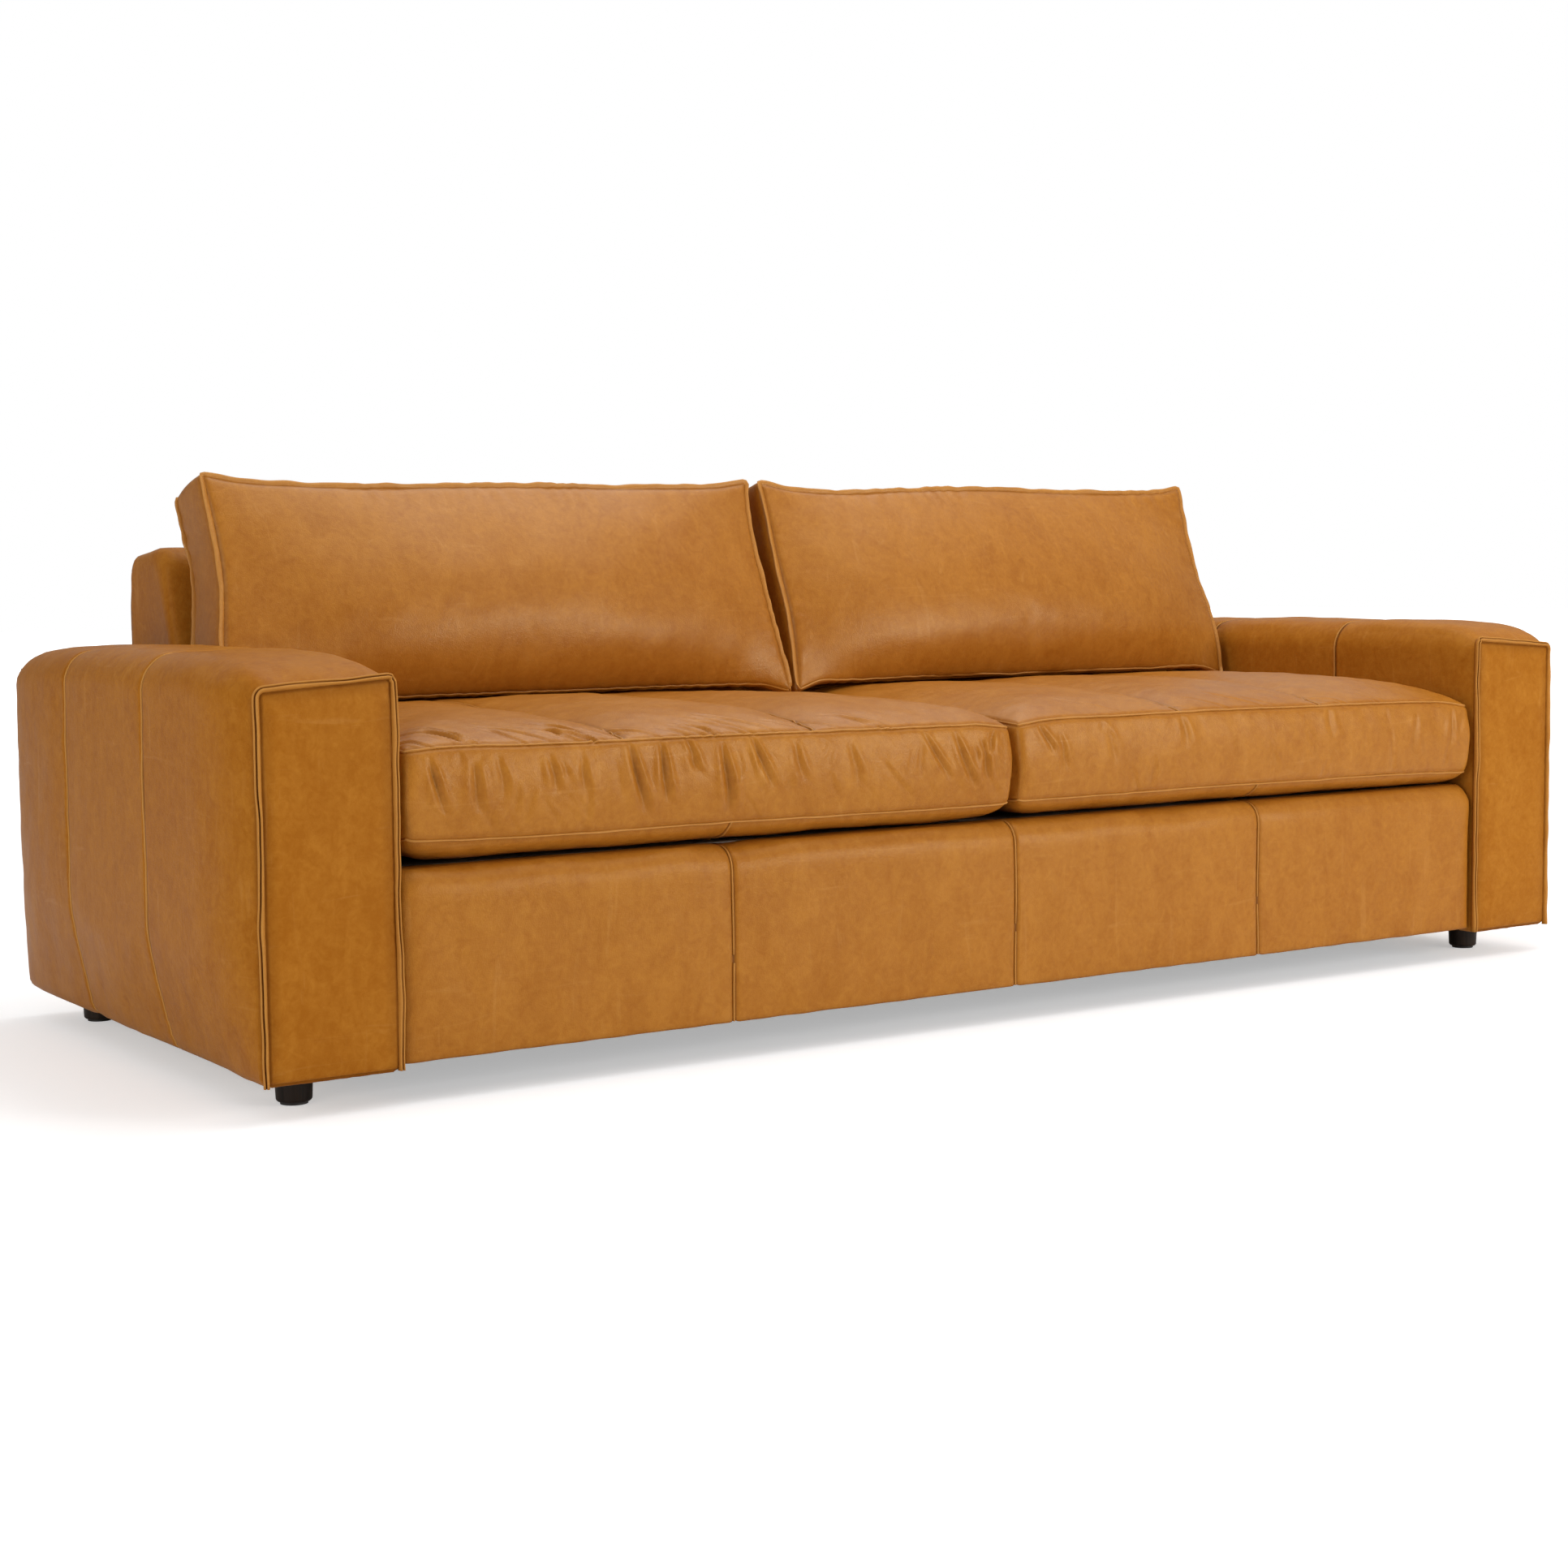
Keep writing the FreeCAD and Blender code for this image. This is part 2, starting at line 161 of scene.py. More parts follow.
def subdivideSmooth(piece, levels=1):
    smooth = piece.modifiers.new("smooth", "SUBSURF")
    smooth.levels = levels
    smooth.render_levels = levels
    applyModifiers(piece)


def refine(piece, chosen):
    # split the faces whose points are all chosen, so that small folds have room
    makeActive(piece)
    bpy.ops.object.mode_set(mode="EDIT")
    bpy.ops.mesh.select_mode(type="FACE")
    bpy.ops.mesh.select_all(action="DESELECT")
    bpy.ops.object.mode_set(mode="OBJECT")
    for face in piece.data.polygons:
        face.select = bool(all(chosen[i] for i in face.vertices))
    bpy.ops.object.mode_set(mode="EDIT")
    bpy.ops.mesh.subdivide(number_cuts=1, smoothness=0.0)
    bpy.ops.mesh.select_mode(type="VERT")
    bpy.ops.object.mode_set(mode="OBJECT")


def smoothShade(piece):
    makeActive(piece)
    bpy.ops.object.shade_smooth()


def join(pieces, name):
    makeActive(pieces[0])
    for piece in pieces[1:]:
        piece.select_set(True)
    bpy.ops.object.join()
    joined = bpy.context.object
    joined.name = name
    joined.data.name = name
    return joined


def ripple(co, size, seed, waves=9):
    # soft unevenness about size metres across, mostly between -1 and 1
    rng = np.random.default_rng(seed)
    total = np.zeros(len(co))
    for _ in range(waves):
        direction = rng.normal(size=3)
        direction /= np.linalg.norm(direction)
        length = size * rng.uniform(0.7, 1.7)
        total += np.sin(co @ direction * fullTurn / length + rng.uniform(0, fullTurn))
    return total / math.sqrt(waves)


def fromBorder(x, y, low, high):
    # how far inside a rectangle each point is
    return np.minimum(np.minimum(x - low[0], high[0] - x), np.minimum(y - low[1], high[1] - y))


def bell(distance, width):
    return np.exp(-((distance / width) ** 2))


def rise(distance, width):
    # 0 at a seam, 1 well away from it
    return 1 - np.exp(-np.maximum(distance, 0) / width)


def ease(value, low, high):
    share = np.clip((value - low) / (high - low), 0, 1)
    return share * share * (3 - 2 * share)


def foldField(a, b, folds):
    # creases over a surface: a runs along a seam and b away from it
    total = np.zeros(len(a))
    for at, start, length, width, slant, depth in folds:
        share = np.clip((b - start) / length, 0, 1)
        wander = 0.35 * width * np.sin(share * 5.2 + at * 90)
        across = (a - at - slant * (b - start) - wander) / (width * (0.65 + 0.7 * share))
        shape = 0.75 * np.exp(-((across - 1.8) / 1.2) ** 2) - np.exp(-np.abs(across) ** 1.5)
        shape += 0.40 * np.exp(-((across + 2.0) / 1.3) ** 2)
        total += depth * shape * np.sin(share * math.pi) ** 0.8
    return total


def scatterFolds(seed, count, along, start, length, width, slant, depth):
    # small creases whose places and sizes are drawn between two limits each
    rng = np.random.default_rng(seed)
    ranges = (along, start, length, width, slant, depth)
    return [tuple(rng.uniform(*limits) for limits in ranges) for _ in range(count)]


def roundedSection(u, v, halfWide, halfHigh, topRadius, bottomRadius):
    # u and v run from -1 to 1 over a rectangle, whose corners are rounded here.
    # Points inside it keep their share of the way out from the middle.
    share = np.maximum(np.maximum(np.abs(u), np.abs(v)), 1e-9)
    a, b = u / share * halfWide, v / share * halfHigh
    radius = np.where(b > 0, topRadius, bottomRadius)
    coreA = np.clip(a, -(halfWide - radius), halfWide - radius)
    coreB = np.clip(b, -(halfHigh - radius), halfHigh - radius)
    awayA, awayB = a - coreA, b - coreB
    away = np.maximum(np.hypot(awayA, awayB), 1e-9)
    inCorner = (np.abs(awayA) > 1e-7) & (np.abs(awayB) > 1e-7)
    outA = np.where(inCorner, coreA + awayA / away * radius, a)
    outB = np.where(inCorner, coreB + awayB / away * radius, b)
    return outA * share, outB * share


def sweptStrip(name, path, outward, across, width, thick, closed=False, wave=0.0, seed=1, twin=False):
    # a folded leather edge: it stands on the path, points outward, and is rounded at its tip;
    # a twin is two folded edges side by side with a slit between them
    path, outward, across = (np.asarray(a, float) for a in (path, outward, across))
    count = len(path)
    steps = np.linalg.norm(np.diff(path, axis=0), axis=1)
    along = np.concatenate([[0], np.cumsum(steps)])
    rng = np.random.default_rng(seed)
    bend = np.zeros(count)
    swell = np.zeros(count)
    total = along[-1] + (np.linalg.norm(path[0] - path[-1]) if closed else 0)
    for length in (0.31, 0.17, 0.09, 0.055):
        turns = max(1, round(total / length)) if closed else total / length
        phase = fullTurn * (along / total * turns + rng.uniform())
        bend += np.sin(phase) * wave * length / 0.31
        swell += 0.05 * np.sin(phase + 1.7)
    profile = [(-0.2, -0.5), (0.35, -0.5), (0.72, -0.46), (0.92, -0.3), (1.0, 0.0),
               (0.92, 0.3), (0.72, 0.46), (0.35, 0.5), (-0.2, 0.5)]
    # lip marks the strip's outer reach, which gets a painted highlight; dark marks painted shade in a
    # twin's slit
    dark = [0.0] * len(profile)
    if twin:
        profile = [(-0.2, -0.5), (0.35, -0.5), (0.76, -0.46), (0.98, -0.34), (0.98, -0.20),
                   (0.76, -0.09), (0.30, -0.03), (0.30, 0.03), (0.76, 0.09), (0.98, 0.20),
                   (0.98, 0.34), (0.76, 0.46), (0.35, 0.5), (-0.2, 0.5)]
        dark = [0.5, 0.1, 0, 0, 0, 0.45, 1, 1, 0.45, 0, 0, 0, 0.1, 0.5]
    rows = []
    for a, b in profile:
        reach = (width * a * (1 + swell))[:, None]
        side = (thick * b + bend * max(a, 0))[:, None]
        rows.append(path + outward * reach + across * side)
    verts = np.stack(rows, axis=1).reshape(-1, 3)
    ring = len(profile)
    faces = []
    for i in range(count if closed else count - 1):
        for k in range(ring):
            first, second = i * ring, ((i + 1) % count) * ring
            faces.append((first + k, first + (k + 1) % ring, second + (k + 1) % ring, second + k))
    if not closed:
        faces.append(tuple(range(ring)))
        faces.append(tuple(reversed(range((count - 1) * ring, count * ring))))
    mesh = bpy.data.meshes.new(name)
    mesh.from_pydata([tuple(v) for v in verts], [], faces)
    piece = bpy.data.objects.new(name, mesh)
    bpy.context.scene.collection.objects.link(piece)
    makeActive(piece)
    bpy.ops.object.mode_set(mode="EDIT")
    bpy.ops.mesh.select_all(action="SELECT")
    bpy.ops.mesh.normals_make_consistent(inside=False)
    bpy.ops.object.mode_set(mode="OBJECT")
    writeValue(piece, "lip", np.tile([max(a, 0) for a, b in profile], count))
    writeValue(piece, "crease", np.tile(dark, count))
    smoothShade(piece)
    return piece


def seamEdge(name, path, away, across, look, seed, closed=False):
    return sweptStrip(name, path, away, across, look["ridge"], look["ridgeThick"], closed=closed,
                      wave=seamWave, seed=seed)


def inOrder(flat, chosen, around, start):
    # the chosen points in turn around the middle of a section, from the start angle
    a, b = around
    part = flat[chosen]
    middle = (part.max(0) + part.min(0)) / 2
    angle = np.arctan2(part[:, b] - middle[b], part[:, a] - middle[a])
    angle = (angle - start) % fullTurn
    return np.nonzero(chosen)[0][np.argsort(angle)]


# finishes
class Flow:
    # one output of a shader node, so that a finish reads as arithmetic

    def __init__(self, tree, socket):
        self.tree = tree
        self.socket = socket

    def calculate(self, operation, first, second):
        node = self.tree.nodes.new("ShaderNodeMath")
        node.operation = operation
        for place, value in zip(node.inputs, (first, second)):
            if isinstance(value, Flow):
                self.tree.links.new(value.socket, place)
            else:
                place.default_value = value
        return Flow(self.tree, node.outputs[0])

    def __add__(self, other):
        return self.calculate("ADD", self, other)

    def __radd__(self, other):
        return self.calculate("ADD", other, self)

    def __sub__(self, other):
        return self.calculate("SUBTRACT", self, other)

    def __rsub__(self, other):
        return self.calculate("SUBTRACT", other, self)

    def __mul__(self, other):
        return self.calculate("MULTIPLY", self, other)

    def __rmul__(self, other):
        return self.calculate("MULTIPLY", other, self)


class Finish:
    # one material and the few ways its nodes are added

    def __init__(self, name):
        self.material = bpy.data.materials.new(name)
        self.material.use_nodes = True
        self.tree = self.material.node_tree
        self.tree.nodes.clear()

    def node(self, kind, settings=None, inputs=None, out=0):
        made = self.tree.nodes.new("ShaderNode" + kind)
        for key, value in (settings or {}).items():
            if key == "stops":
                self.setStops(made.color_ramp, value)
            else:
                setattr(made, key, value)
        for key, value in (inputs or {}).items():
            place = made.inputs[key]
            if isinstance(value, Flow):
                self.tree.links.new(value.socket, place)
            else:
                place.default_value = value
        return Flow(self.tree, made.outputs[out]) if len(made.outputs) else None

    def setStops(self, ramp, stops):
        while len(ramp.elements) < len(stops):
            ramp.elements.new(1.0)
        for element, (place, value) in zip(ramp.elements, stops):
            element.position = place
            element.color = (value, value, value, 1) if isinstance(value, float) else (*value, 1)

    def place(self, shift=(0, 0, 0), stretch=(1, 1, 1)):
        own = self.node("TexCoord", out="Object")
        return self.node("Mapping", None, {"Vector": own, "Location": shift, "Scale": stretch})

    def noise(self, where, scale, detail=3.0, roughness=0.5, distortion=0.0):
        return self.node("TexNoise", {"noise_dimensions": "3D"},
                         {"Vector": where, "Scale": scale, "Detail": detail,
                          "Roughness": roughness, "Distortion": distortion}, "Fac")

    def cells(self, where, scale, smoothness):
        inputs = {"Vector": where, "Scale": scale, "Smoothness": smoothness}
        return self.node("TexVoronoi", {"feature": "SMOOTH_F1"}, inputs, "Distance")

    def ramp(self, value, stops):
        return self.node("ValToRGB", {"stops": stops}, {"Fac": value}, "Color")

    def value(self, name):
        return self.node("Attribute", {"attribute_name": name, "attribute_type": "GEOMETRY"},
                         None, "Fac")

    def mix(self, share, first, second):
        first, second = ((*c, 1) if isinstance(c, tuple) and len(c) == 3 else c
                         for c in (first, second))
        return self.node("Mix", {"data_type": "RGBA"},
                         {0: share, 6: first, 7: second}, 2)

    def bump(self, height, distance, strength, under=None):
        inputs = {"Height": height, "Distance": distance, "Strength": strength}
        if under is not None:
            inputs["Normal"] = under
        return self.node("Bump", None, inputs, "Normal")

    def done(self, **inputs):
        shader = self.node("BsdfPrincipled", None, inputs)
        self.node("OutputMaterial", None, {"Surface": shader})
        return self.material


leatherLook = {
    "pale": (0.490, 0.199, 0.027),
    "body": (0.400, 0.140, 0.011),
    "deep": (0.275, 0.078, 0.005),
    # dark colour for the painted shade in seams, grooves, slits and fold troughs
    "crease": (0.125, 0.032, 0.003),
    # pale colour for the hair lines, and for the painted highlight on folded edges and seam ridges
    "edge": (0.60, 0.29, 0.075),
    "roughness": 0.345,
    "grain": 640.0,
}


def makeLeather(name, shift, gleam, look=leatherLook):
    finish = Finish(name)
    where = finish.place(shift)
    pulled = finish.place(shift, (1.0, 1.0, 0.45))
    cloud = finish.noise(where, 3.1, 4.0, 0.55, 0.3)
    mottle = finish.noise(pulled, 19.0, 7.0, 0.68, 0.8)
    speck = finish.noise(where, 120.0, 4.0, 0.7)
    fleck = finish.noise(where, 58.0, 5.0, 0.72, 1.0)
    tone = 0.36 * mottle + 0.10 * cloud + 0.36 * fleck + 0.18 * speck + 0.03 * finish.value("panel")
    share = finish.ramp(tone, [(0.40, 0.0), (0.60, 1.0)])
    colour = finish.mix(share, look["deep"], look["pale"])
    colour = finish.mix(0.54, colour, look["body"])
    # pale hair lines and rubbed spots, as on a waxed pull-up hide
    scratchA = finish.noise(finish.place(shift, (40.0, 40.0, 5.0)), 1.0, 3.0, 0.6, 1.2)
    scratchB = finish.noise(finish.place(shift, (6.0, 8.0, 44.0)), 1.0, 3.0, 0.6, 1.4)
    lines = finish.ramp(scratchA, [(0.62, 0.0), (0.72, 1.0)]) * 0.5
    lines = lines + finish.ramp(scratchB, [(0.64, 0.0), (0.74, 1.0)]) * 0.5
    colour = finish.mix(lines * 0.30, colour, look["edge"])
    # painted highlight: the outer reach of folded edges and seam ridges is drawn paler, standing in for the
    # light they catch
    paintedHighlight = finish.value("lip")
    colour = finish.mix(paintedHighlight * 0.55, colour, look["edge"])
    # painted shade: seams, grooves, slits and fold troughs are drawn darker, standing in for the shade in
    # them
    paintedShade = finish.value("crease")
    colour = finish.mix(paintedShade, colour, look["crease"])
    grain = finish.cells(where, look["grain"], smoothness=0.35)
    pores = finish.noise(where, 900.0, 2.0, 0.6)
    veins = finish.noise(where, 70.0, 5.0, 0.62, 1.5)
    low = finish.bump(veins, 0.0011, 0.30)
    normal = finish.bump(grain + 0.35 * pores, 0.0006, 0.36, low)
    gloss = look["roughness"] - 0.05 + 0.14 * mottle + 0.10 * paintedShade - 0.06 * lines
    return finish.done(**{"Base Color": colour, "Roughness": gloss, "Normal": normal,
                          "Specular IOR Level": gleam, "Specular Tint": (1.0, 0.85, 0.54, 1.0)})


def makeWood(name, dark, pale, along, roughness, shift=(0, 0, 0)):
    finish = Finish(name)
    stretch = [38.0, 38.0, 38.0]
    stretch[along] = 1.6
    where = finish.place(shift, tuple(stretch))
    waver = finish.noise(finish.place(shift), 5.0, 2.0)
    rings = finish.node("TexNoise", {"noise_dimensions": "3D"},
                        {"Vector": where, "Scale": 1.0, "Detail": 5.0, "Roughness": 0.6,
                         "Distortion": 0.8}, "Fac")
    pores = finish.noise(finish.place(shift, tuple(s * 9 for s in stretch)), 1.0, 2.0, 0.7)
    tone = 0.62 * rings + 0.2 * waver + 0.18 * pores
    colour = finish.mix(finish.ramp(tone, [(0.36, 0.0), (0.64, 1.0)]), dark, pale)
    normal = finish.bump(0.6 * rings + 0.4 * pores, 0.0006, 0.35)
    return finish.done(**{"Base Color": colour, "Roughness": roughness + 0.16 * rings,
                          "Normal": normal, "Specular IOR Level": 0.22})


def makeWeave(name, dark, pale, threads, roughness):
    # over-and-under cloth on a flat face: x and y threads in turn
    finish = Finish(name)
    where = finish.place()
    apart = finish.node("SeparateXYZ", None, {"Vector": where})
    east = finish.node("Math", {"operation": "SINE"}, {0: apart * (threads * fullTurn)})
    second = Flow(finish.tree, apart.socket.node.outputs[1])
    north = finish.node("Math", {"operation": "SINE"}, {0: second * (threads * fullTurn)})
    over = east * north
    fuzz = finish.noise(where, threads * 1.5, 3.0, 0.7)
    cloud = finish.noise(where, 9.0, 4.0, 0.6)
    tone = 0.5 + 0.25 * over + 0.5 * (fuzz - 0.5) + 0.4 * (cloud - 0.5)
    colour = finish.mix(finish.ramp(tone, [(0.15, 0.0), (0.85, 1.0)]), dark, pale)
    normal = finish.bump(over * 0.5 + fuzz * 0.5, 0.0007, 0.5)
    return finish.done(**{"Base Color": colour, "Roughness": roughness, "Normal": normal})


def makeFoam(name, dark, pale):
    finish = Finish(name)
    where = finish.place()
    holes = finish.cells(where, 420.0, smoothness=0.2)
    lumps = finish.noise(where, 35.0, 5.0, 0.7)
    colour = finish.mix(finish.ramp(0.5 * holes + 0.6 * lumps, [(0.3, 0.0), (0.8, 1.0)]), dark, pale)
    normal = finish.bump(holes + 0.5 * lumps, 0.0012, 0.6)
    return finish.done(**{"Base Color": colour, "Roughness": 0.95, "Normal": normal})


def makeSteel(name, dark, pale, roughness):
    finish = Finish(name)
    brushed = finish.noise(finish.place((0, 0, 0), (30.0, 30.0, 500.0)), 1.0, 4.0, 0.6)
    spots = finish.noise(finish.place(), 260.0, 4.0, 0.7)
    colour = finish.mix(0.6 * brushed + 0.4 * spots, dark, pale)
    normal = finish.bump(brushed, 0.0002, 0.3)
    return finish.done(**{"Base Color": colour, "Metallic": 1.0,
                          "Roughness": roughness + 0.2 * spots, "Normal": normal})


def makeBoard(name, dark, pale):
    finish = Finish(name)
    where = finish.place()
    fibres = finish.noise(finish.place((0, 0, 0), (300.0, 90.0, 300.0)), 1.0, 5.0, 0.7)
    cloud = finish.noise(where, 14.0, 4.0, 0.6)
    colour = finish.mix(finish.ramp(0.6 * fibres + 0.4 * cloud, [(0.3, 0.0), (0.7, 1.0)]), dark, pale)
    return finish.done(**{"Base Color": colour, "Roughness": 0.86,
                          "Normal": finish.bump(fibres, 0.0004, 0.4)})


def makeNylon(name, dark, pale):
    finish = Finish(name)
    specks = finish.noise(finish.place(), 700.0, 3.0, 0.7)
    colour = finish.mix(specks, dark, pale)
    return finish.done(**{"Base Color": colour, "Roughness": 0.55 + 0.15 * specks,
                          "Normal": finish.bump(specks, 0.0002, 0.4)})


def dress(piece, material):
    piece.data.materials.clear()
    piece.data.materials.append(material)


print("finishes")
armLeather = makeLeather("armLeather", (0.0, 0.0, 0.0), 0.055)
railLeather = makeLeather("railLeather", (3.1, 0.7, 1.3), 0.26)
backLeather = makeLeather("backLeather", (5.2, 2.1, 0.4), 0.09)
seatLeather = makeLeather("seatLeather", (1.7, 4.3, 2.2), 0.32)
pillowLeather = makeLeather("pillowLeather", (7.4, 1.2, 3.3), 0.42)


# arms
armShape = {
    "grid": 0.011,
    "seams": (1 / 3, 2 / 3),      # shares of the arm's length
    "frontTaper": 0.035, "sideTaper": 0.031, "rearTaper": 0.036, "taperReach": 0.046, "rearReach": 0.105,
    "frontIn": 0.0045, "rearIn": 0.006, "underIn": 0.004,     # how far the ends step in elsewhere
    "frontFall": 0.013, "fallReach": 0.12, "crown": 0.006,
    "topRadius": 0.046, "bottomRadius": 0.022,
    "barrel": 0.035, "barrelTop": 0.215,
    "rearRound": 0.012,
    "groove": 0.0034, "grooveWidth": 0.0042, "puff": 0.0026,
    "leather": 0.0022,
    "underWindow": 0.044, "windowEnds": 0.035,
    "flangeWidth": 0.0068, "flangeThick": 0.0080, "flangeInset": 0.0055, "sideInset": 0.0015,
    "flangeCorner": 0.009, "flangeStep": 0.008, "flangeWave": 0.0014,
    "flangeLean": {"inner": 0.98, "outer": 0.84, "top": 0.80},      # 1 points straight forwards
    "frontPuff": 0.0034, "ridge": 0.0028, "ridgeThick": 0.0030, "ridgeHighlight": 1.5,
    "tuckStep": 0.024, "tuck": 0.0008, "puckerStep": 0.028, "pucker": 0.0006,
    "darkBefore": 0.0028, "tones": (0.35, -0.5, 0.2), "frontTone": -0.55,
}


def armSection(flat, low, high, look):
    # from the plain box to the sewn arm: narrower at both ends, barrelled outside
    middle = (low + high) / 2
    half = (high - low) / 2
    u = (flat[:, 0] - middle[0]) / half[0]
    v = (flat[:, 2] - middle[2]) / half[2]
    fromFront = flat[:, 1] - low[1]
    fromRear = high[1] - flat[:, 1]
    nearFront = np.exp(-fromFront / look["taperReach"])
    nearRear = np.exp(-fromRear / look["rearReach"])
    corner = np.clip(1 - fromRear / look["rearRound"], 0, 1)
    turned = look["rearRound"] * (1 - np.sqrt(1 - corner**2)) * 0.9
    outer = high[0] - look["sideTaper"] * nearFront - look["rearTaper"] * nearRear - turned
    inner = low[0] + look["frontIn"] * nearFront + look["rearIn"] * nearRear + turned
    top = high[2] - look["frontTaper"] * nearFront - look["rearTaper"] * nearRear - turned
    bottom = low[2] + look["underIn"] * (nearFront + nearRear) + turned
    soft = 1 - 0.62 * nearFront - 0.45 * nearRear
    a, b = roundedSection(u, v, (outer - inner) / 2, (top - bottom) / 2,
                          look["topRadius"] * soft, look["bottomRadius"] * soft)
    x, z = (outer + inner) / 2 + a, (top + bottom) / 2 + b
    # in front the top falls a little towards the outside
    fall = np.clip((x - low[0]) / (high[0] - low[0]), 0, 1) - 0.35
    z = z - look["frontFall"] * fall * np.clip(v, 0, 1) ** 2 * np.exp(-fromFront / look["fallReach"])
    lowDown = np.clip((look["barrelTop"] - z) / (look["barrelTop"] - low[2]), 0, 1)
    outside = np.clip(a / half[0], 0, 1) ** 1.5
    x = x - look["barrel"] * lowDown**1.35 * outside * (1 - nearFront) * (1 - 0.9 * nearRear)
    crown = look["crown"] * (1 - np.clip(np.abs(a) / half[0], 0, 1) ** 2)
    z = z + crown * (b > 0) * np.clip(v, 0, 1) ** 3 * (1 - nearFront) * (1 - nearRear) - 0.002
    return np.stack([x, flat[:, 1], np.maximum(z, low[2] + 0.0002)], axis=1)


def recalculateOutside(piece):
    makeActive(piece)
    bpy.ops.object.mode_set(mode="EDIT")
    bpy.ops.mesh.select_all(action="SELECT")
    bpy.ops.mesh.normals_make_consistent(inside=False)
    bpy.ops.object.mode_set(mode="OBJECT")


def makeArm(side, look=armShape):
    sign = sides[side]
    low, high = (np.array(c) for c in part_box("arm_cover_right"))
    high[2] -= 0.004
    length = high[1] - low[1]
    seams = [low[1] + length * share for share in look["seams"]]
    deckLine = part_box("deck_pad")[0].z
    inset = look["underWindow"]
    end = look["windowEnds"]
    cuts = [
        spread(low[0], high[0], look["grid"], keep=[high[0] - inset]),
        spread(low[1], high[1], look["grid"],
               keep=[low[1] + 0.003, low[1] + 0.007, low[1] + end, high[1] - end,
                     high[1] - 0.001, high[1] - 0.0035, high[1] - 0.0075, high[1] - 0.012],
               near=seams, fine=besideSeam),
        spread(low[2], high[2], look["grid"], keep=[deckLine]),
    ]
    piece = griddedBox("arm_leather_" + side, low, high, cuts)
    flat = readFlat(piece)
    shaped = armSection(flat, low, high, look)
    writePoints(piece, shaped)
    normals = readNormals(piece)
    fromSeam = np.min([np.abs(flat[:, 1] - s) for s in seams], axis=0)
    fromFront, fromRear = flat[:, 1] - low[1], high[1] - flat[:, 1]
    height = (shaped[:, 2] - low[2]) / (high[2] - low[2])
    moved = look["puff"] * (1 - bell(fromSeam, 0.055))
    moved -= look["groove"] * bell(fromSeam, look["grooveWidth"])
    moved += 0.0012 * ripple(flat, 0.21, 11 + sign) + 0.0005 * ripple(flat, 0.06, 21 + sign)
    # little gathers where the panels are sewn to the flange, and low down at the seams
    around = flat[:, 0] + flat[:, 2]
    tucks = np.sin(around * fullTurn / look["tuckStep"] + 2.2 * ripple(flat, 0.08, 31 + sign))
    patchy = np.clip(0.45 + 0.55 * ripple(flat, 0.11, 41 + sign), 0, 1)
    moved += look["tuck"] * tucks * bell(fromFront - 0.012, 0.018) * patchy
    pucker = np.sin(flat[:, 2] * fullTurn / look["puckerStep"] + 1.5 * ripple(flat, 0.07, 51 + sign))
    lowDown = 0.35 + 0.65 * bell(height, 0.18)
    moved += look["pucker"] * pucker * bell(fromSeam - 0.010, 0.012) * lowDown
    edges = np.clip(fromFront / 0.006, 0, 1) * np.clip(fromRear / 0.02, 0, 1)
    inside = (flat[:, 0] < low[0] + 0.001)
    moved = np.where(inside, np.minimum(moved, 0.0004), moved)
    shaped = shaped + normals * (moved * edges)[:, None]
    shaped[:, 0] = np.clip(shaped[:, 0], low[0] - 0.0002, high[0])
    shaped[:, 2] = np.maximum(shaped[:, 2], low[2])
    # the dark side of a seam is the one towards the front
    # painted shade: each seam is drawn darker on its side towards the front, and so is the leather at the
    # front edge
    beforeSeam = np.min([np.abs(flat[:, 1] - s + look["darkBefore"]) for s in seams], axis=0)
    writeValue(piece, "crease", 0.92 * bell(beforeSeam, 0.0034) * edges
               + 0.6 * bell(fromFront, 0.005) * (fromFront < 0.03))
    panel = np.digitize(flat[:, 1], seams)
    writeValue(piece, "panel", np.array(look["tones"])[panel] * sign)
    writePoints(piece, shaped)
    normals = readNormals(piece)

    ridges = []
    for number, seam in enumerate(seams):
        chosen = np.abs(flat[:, 1] - seam) < tiny
        order = inOrder(flat, chosen, (0, 2), -0.5 * math.pi)
        keep = [i for i in order if not (flat[i, 2] < low[2] + tiny and flat[i, 0] < high[0] - inset - tiny)
                and not (flat[i, 0] < low[0] + tiny and flat[i, 2] < deckLine)]
        path = shaped[keep] * (sign, 1, 1)
        away = normals[keep] * (sign, 1, 1)
        across = np.tile([0, 1.0, 0], (len(keep), 1))
        path[:, 1] += 0.0008
        ridge = seamEdge(f"ridge{number}", path, away, across, look, 61 + number)
        # the seam ridges get a stronger painted highlight
        writeValue(ridge, "lip", np.full(len(ridge.data.vertices), look["ridgeHighlight"]))
        ridges.append(ridge)

    def opened(centre, normal):
        under = normal.z < -0.9 and centre.x < high[0] - inset
        under = under and low[1] + end < centre.y < high[1] - end
        behindSeat = normal.x < -0.9 and centre.z < deckLine and centre.y < high[1] - 0.02
        return under or (behindSeat and centre.y > low[1] + end)

    # opened while it is still the plain box, and shaped again afterwards
    writePoints(piece, flat)
    removeFaces(piece, opened)
    makeActive(piece)
    bpy.ops.object.mode_set(mode="EDIT")
    bpy.ops.mesh.select_all(action="DESELECT")
    bpy.ops.mesh.select_loose()
    bpy.ops.mesh.delete(type="VERT")
    bpy.ops.object.mode_set(mode="OBJECT")
    kept = readFlat(piece)
    lookup = {tuple(np.round(f, 6)): i for i, f in enumerate(flat)}
    rows = [lookup[tuple(np.round(f, 6))] for f in kept]
    writePoints(piece, shaped[rows] * (sign, 1, 1))
    recalculateOutside(piece)
    thicken(piece, look["leather"])
    smoothShade(piece)
    dress(piece, armLeather)
    for ridge in ridges:
        dress(ridge, armLeather)
    ridge = join(ridges, "arm_seams_" + side)
    return piece, ridge


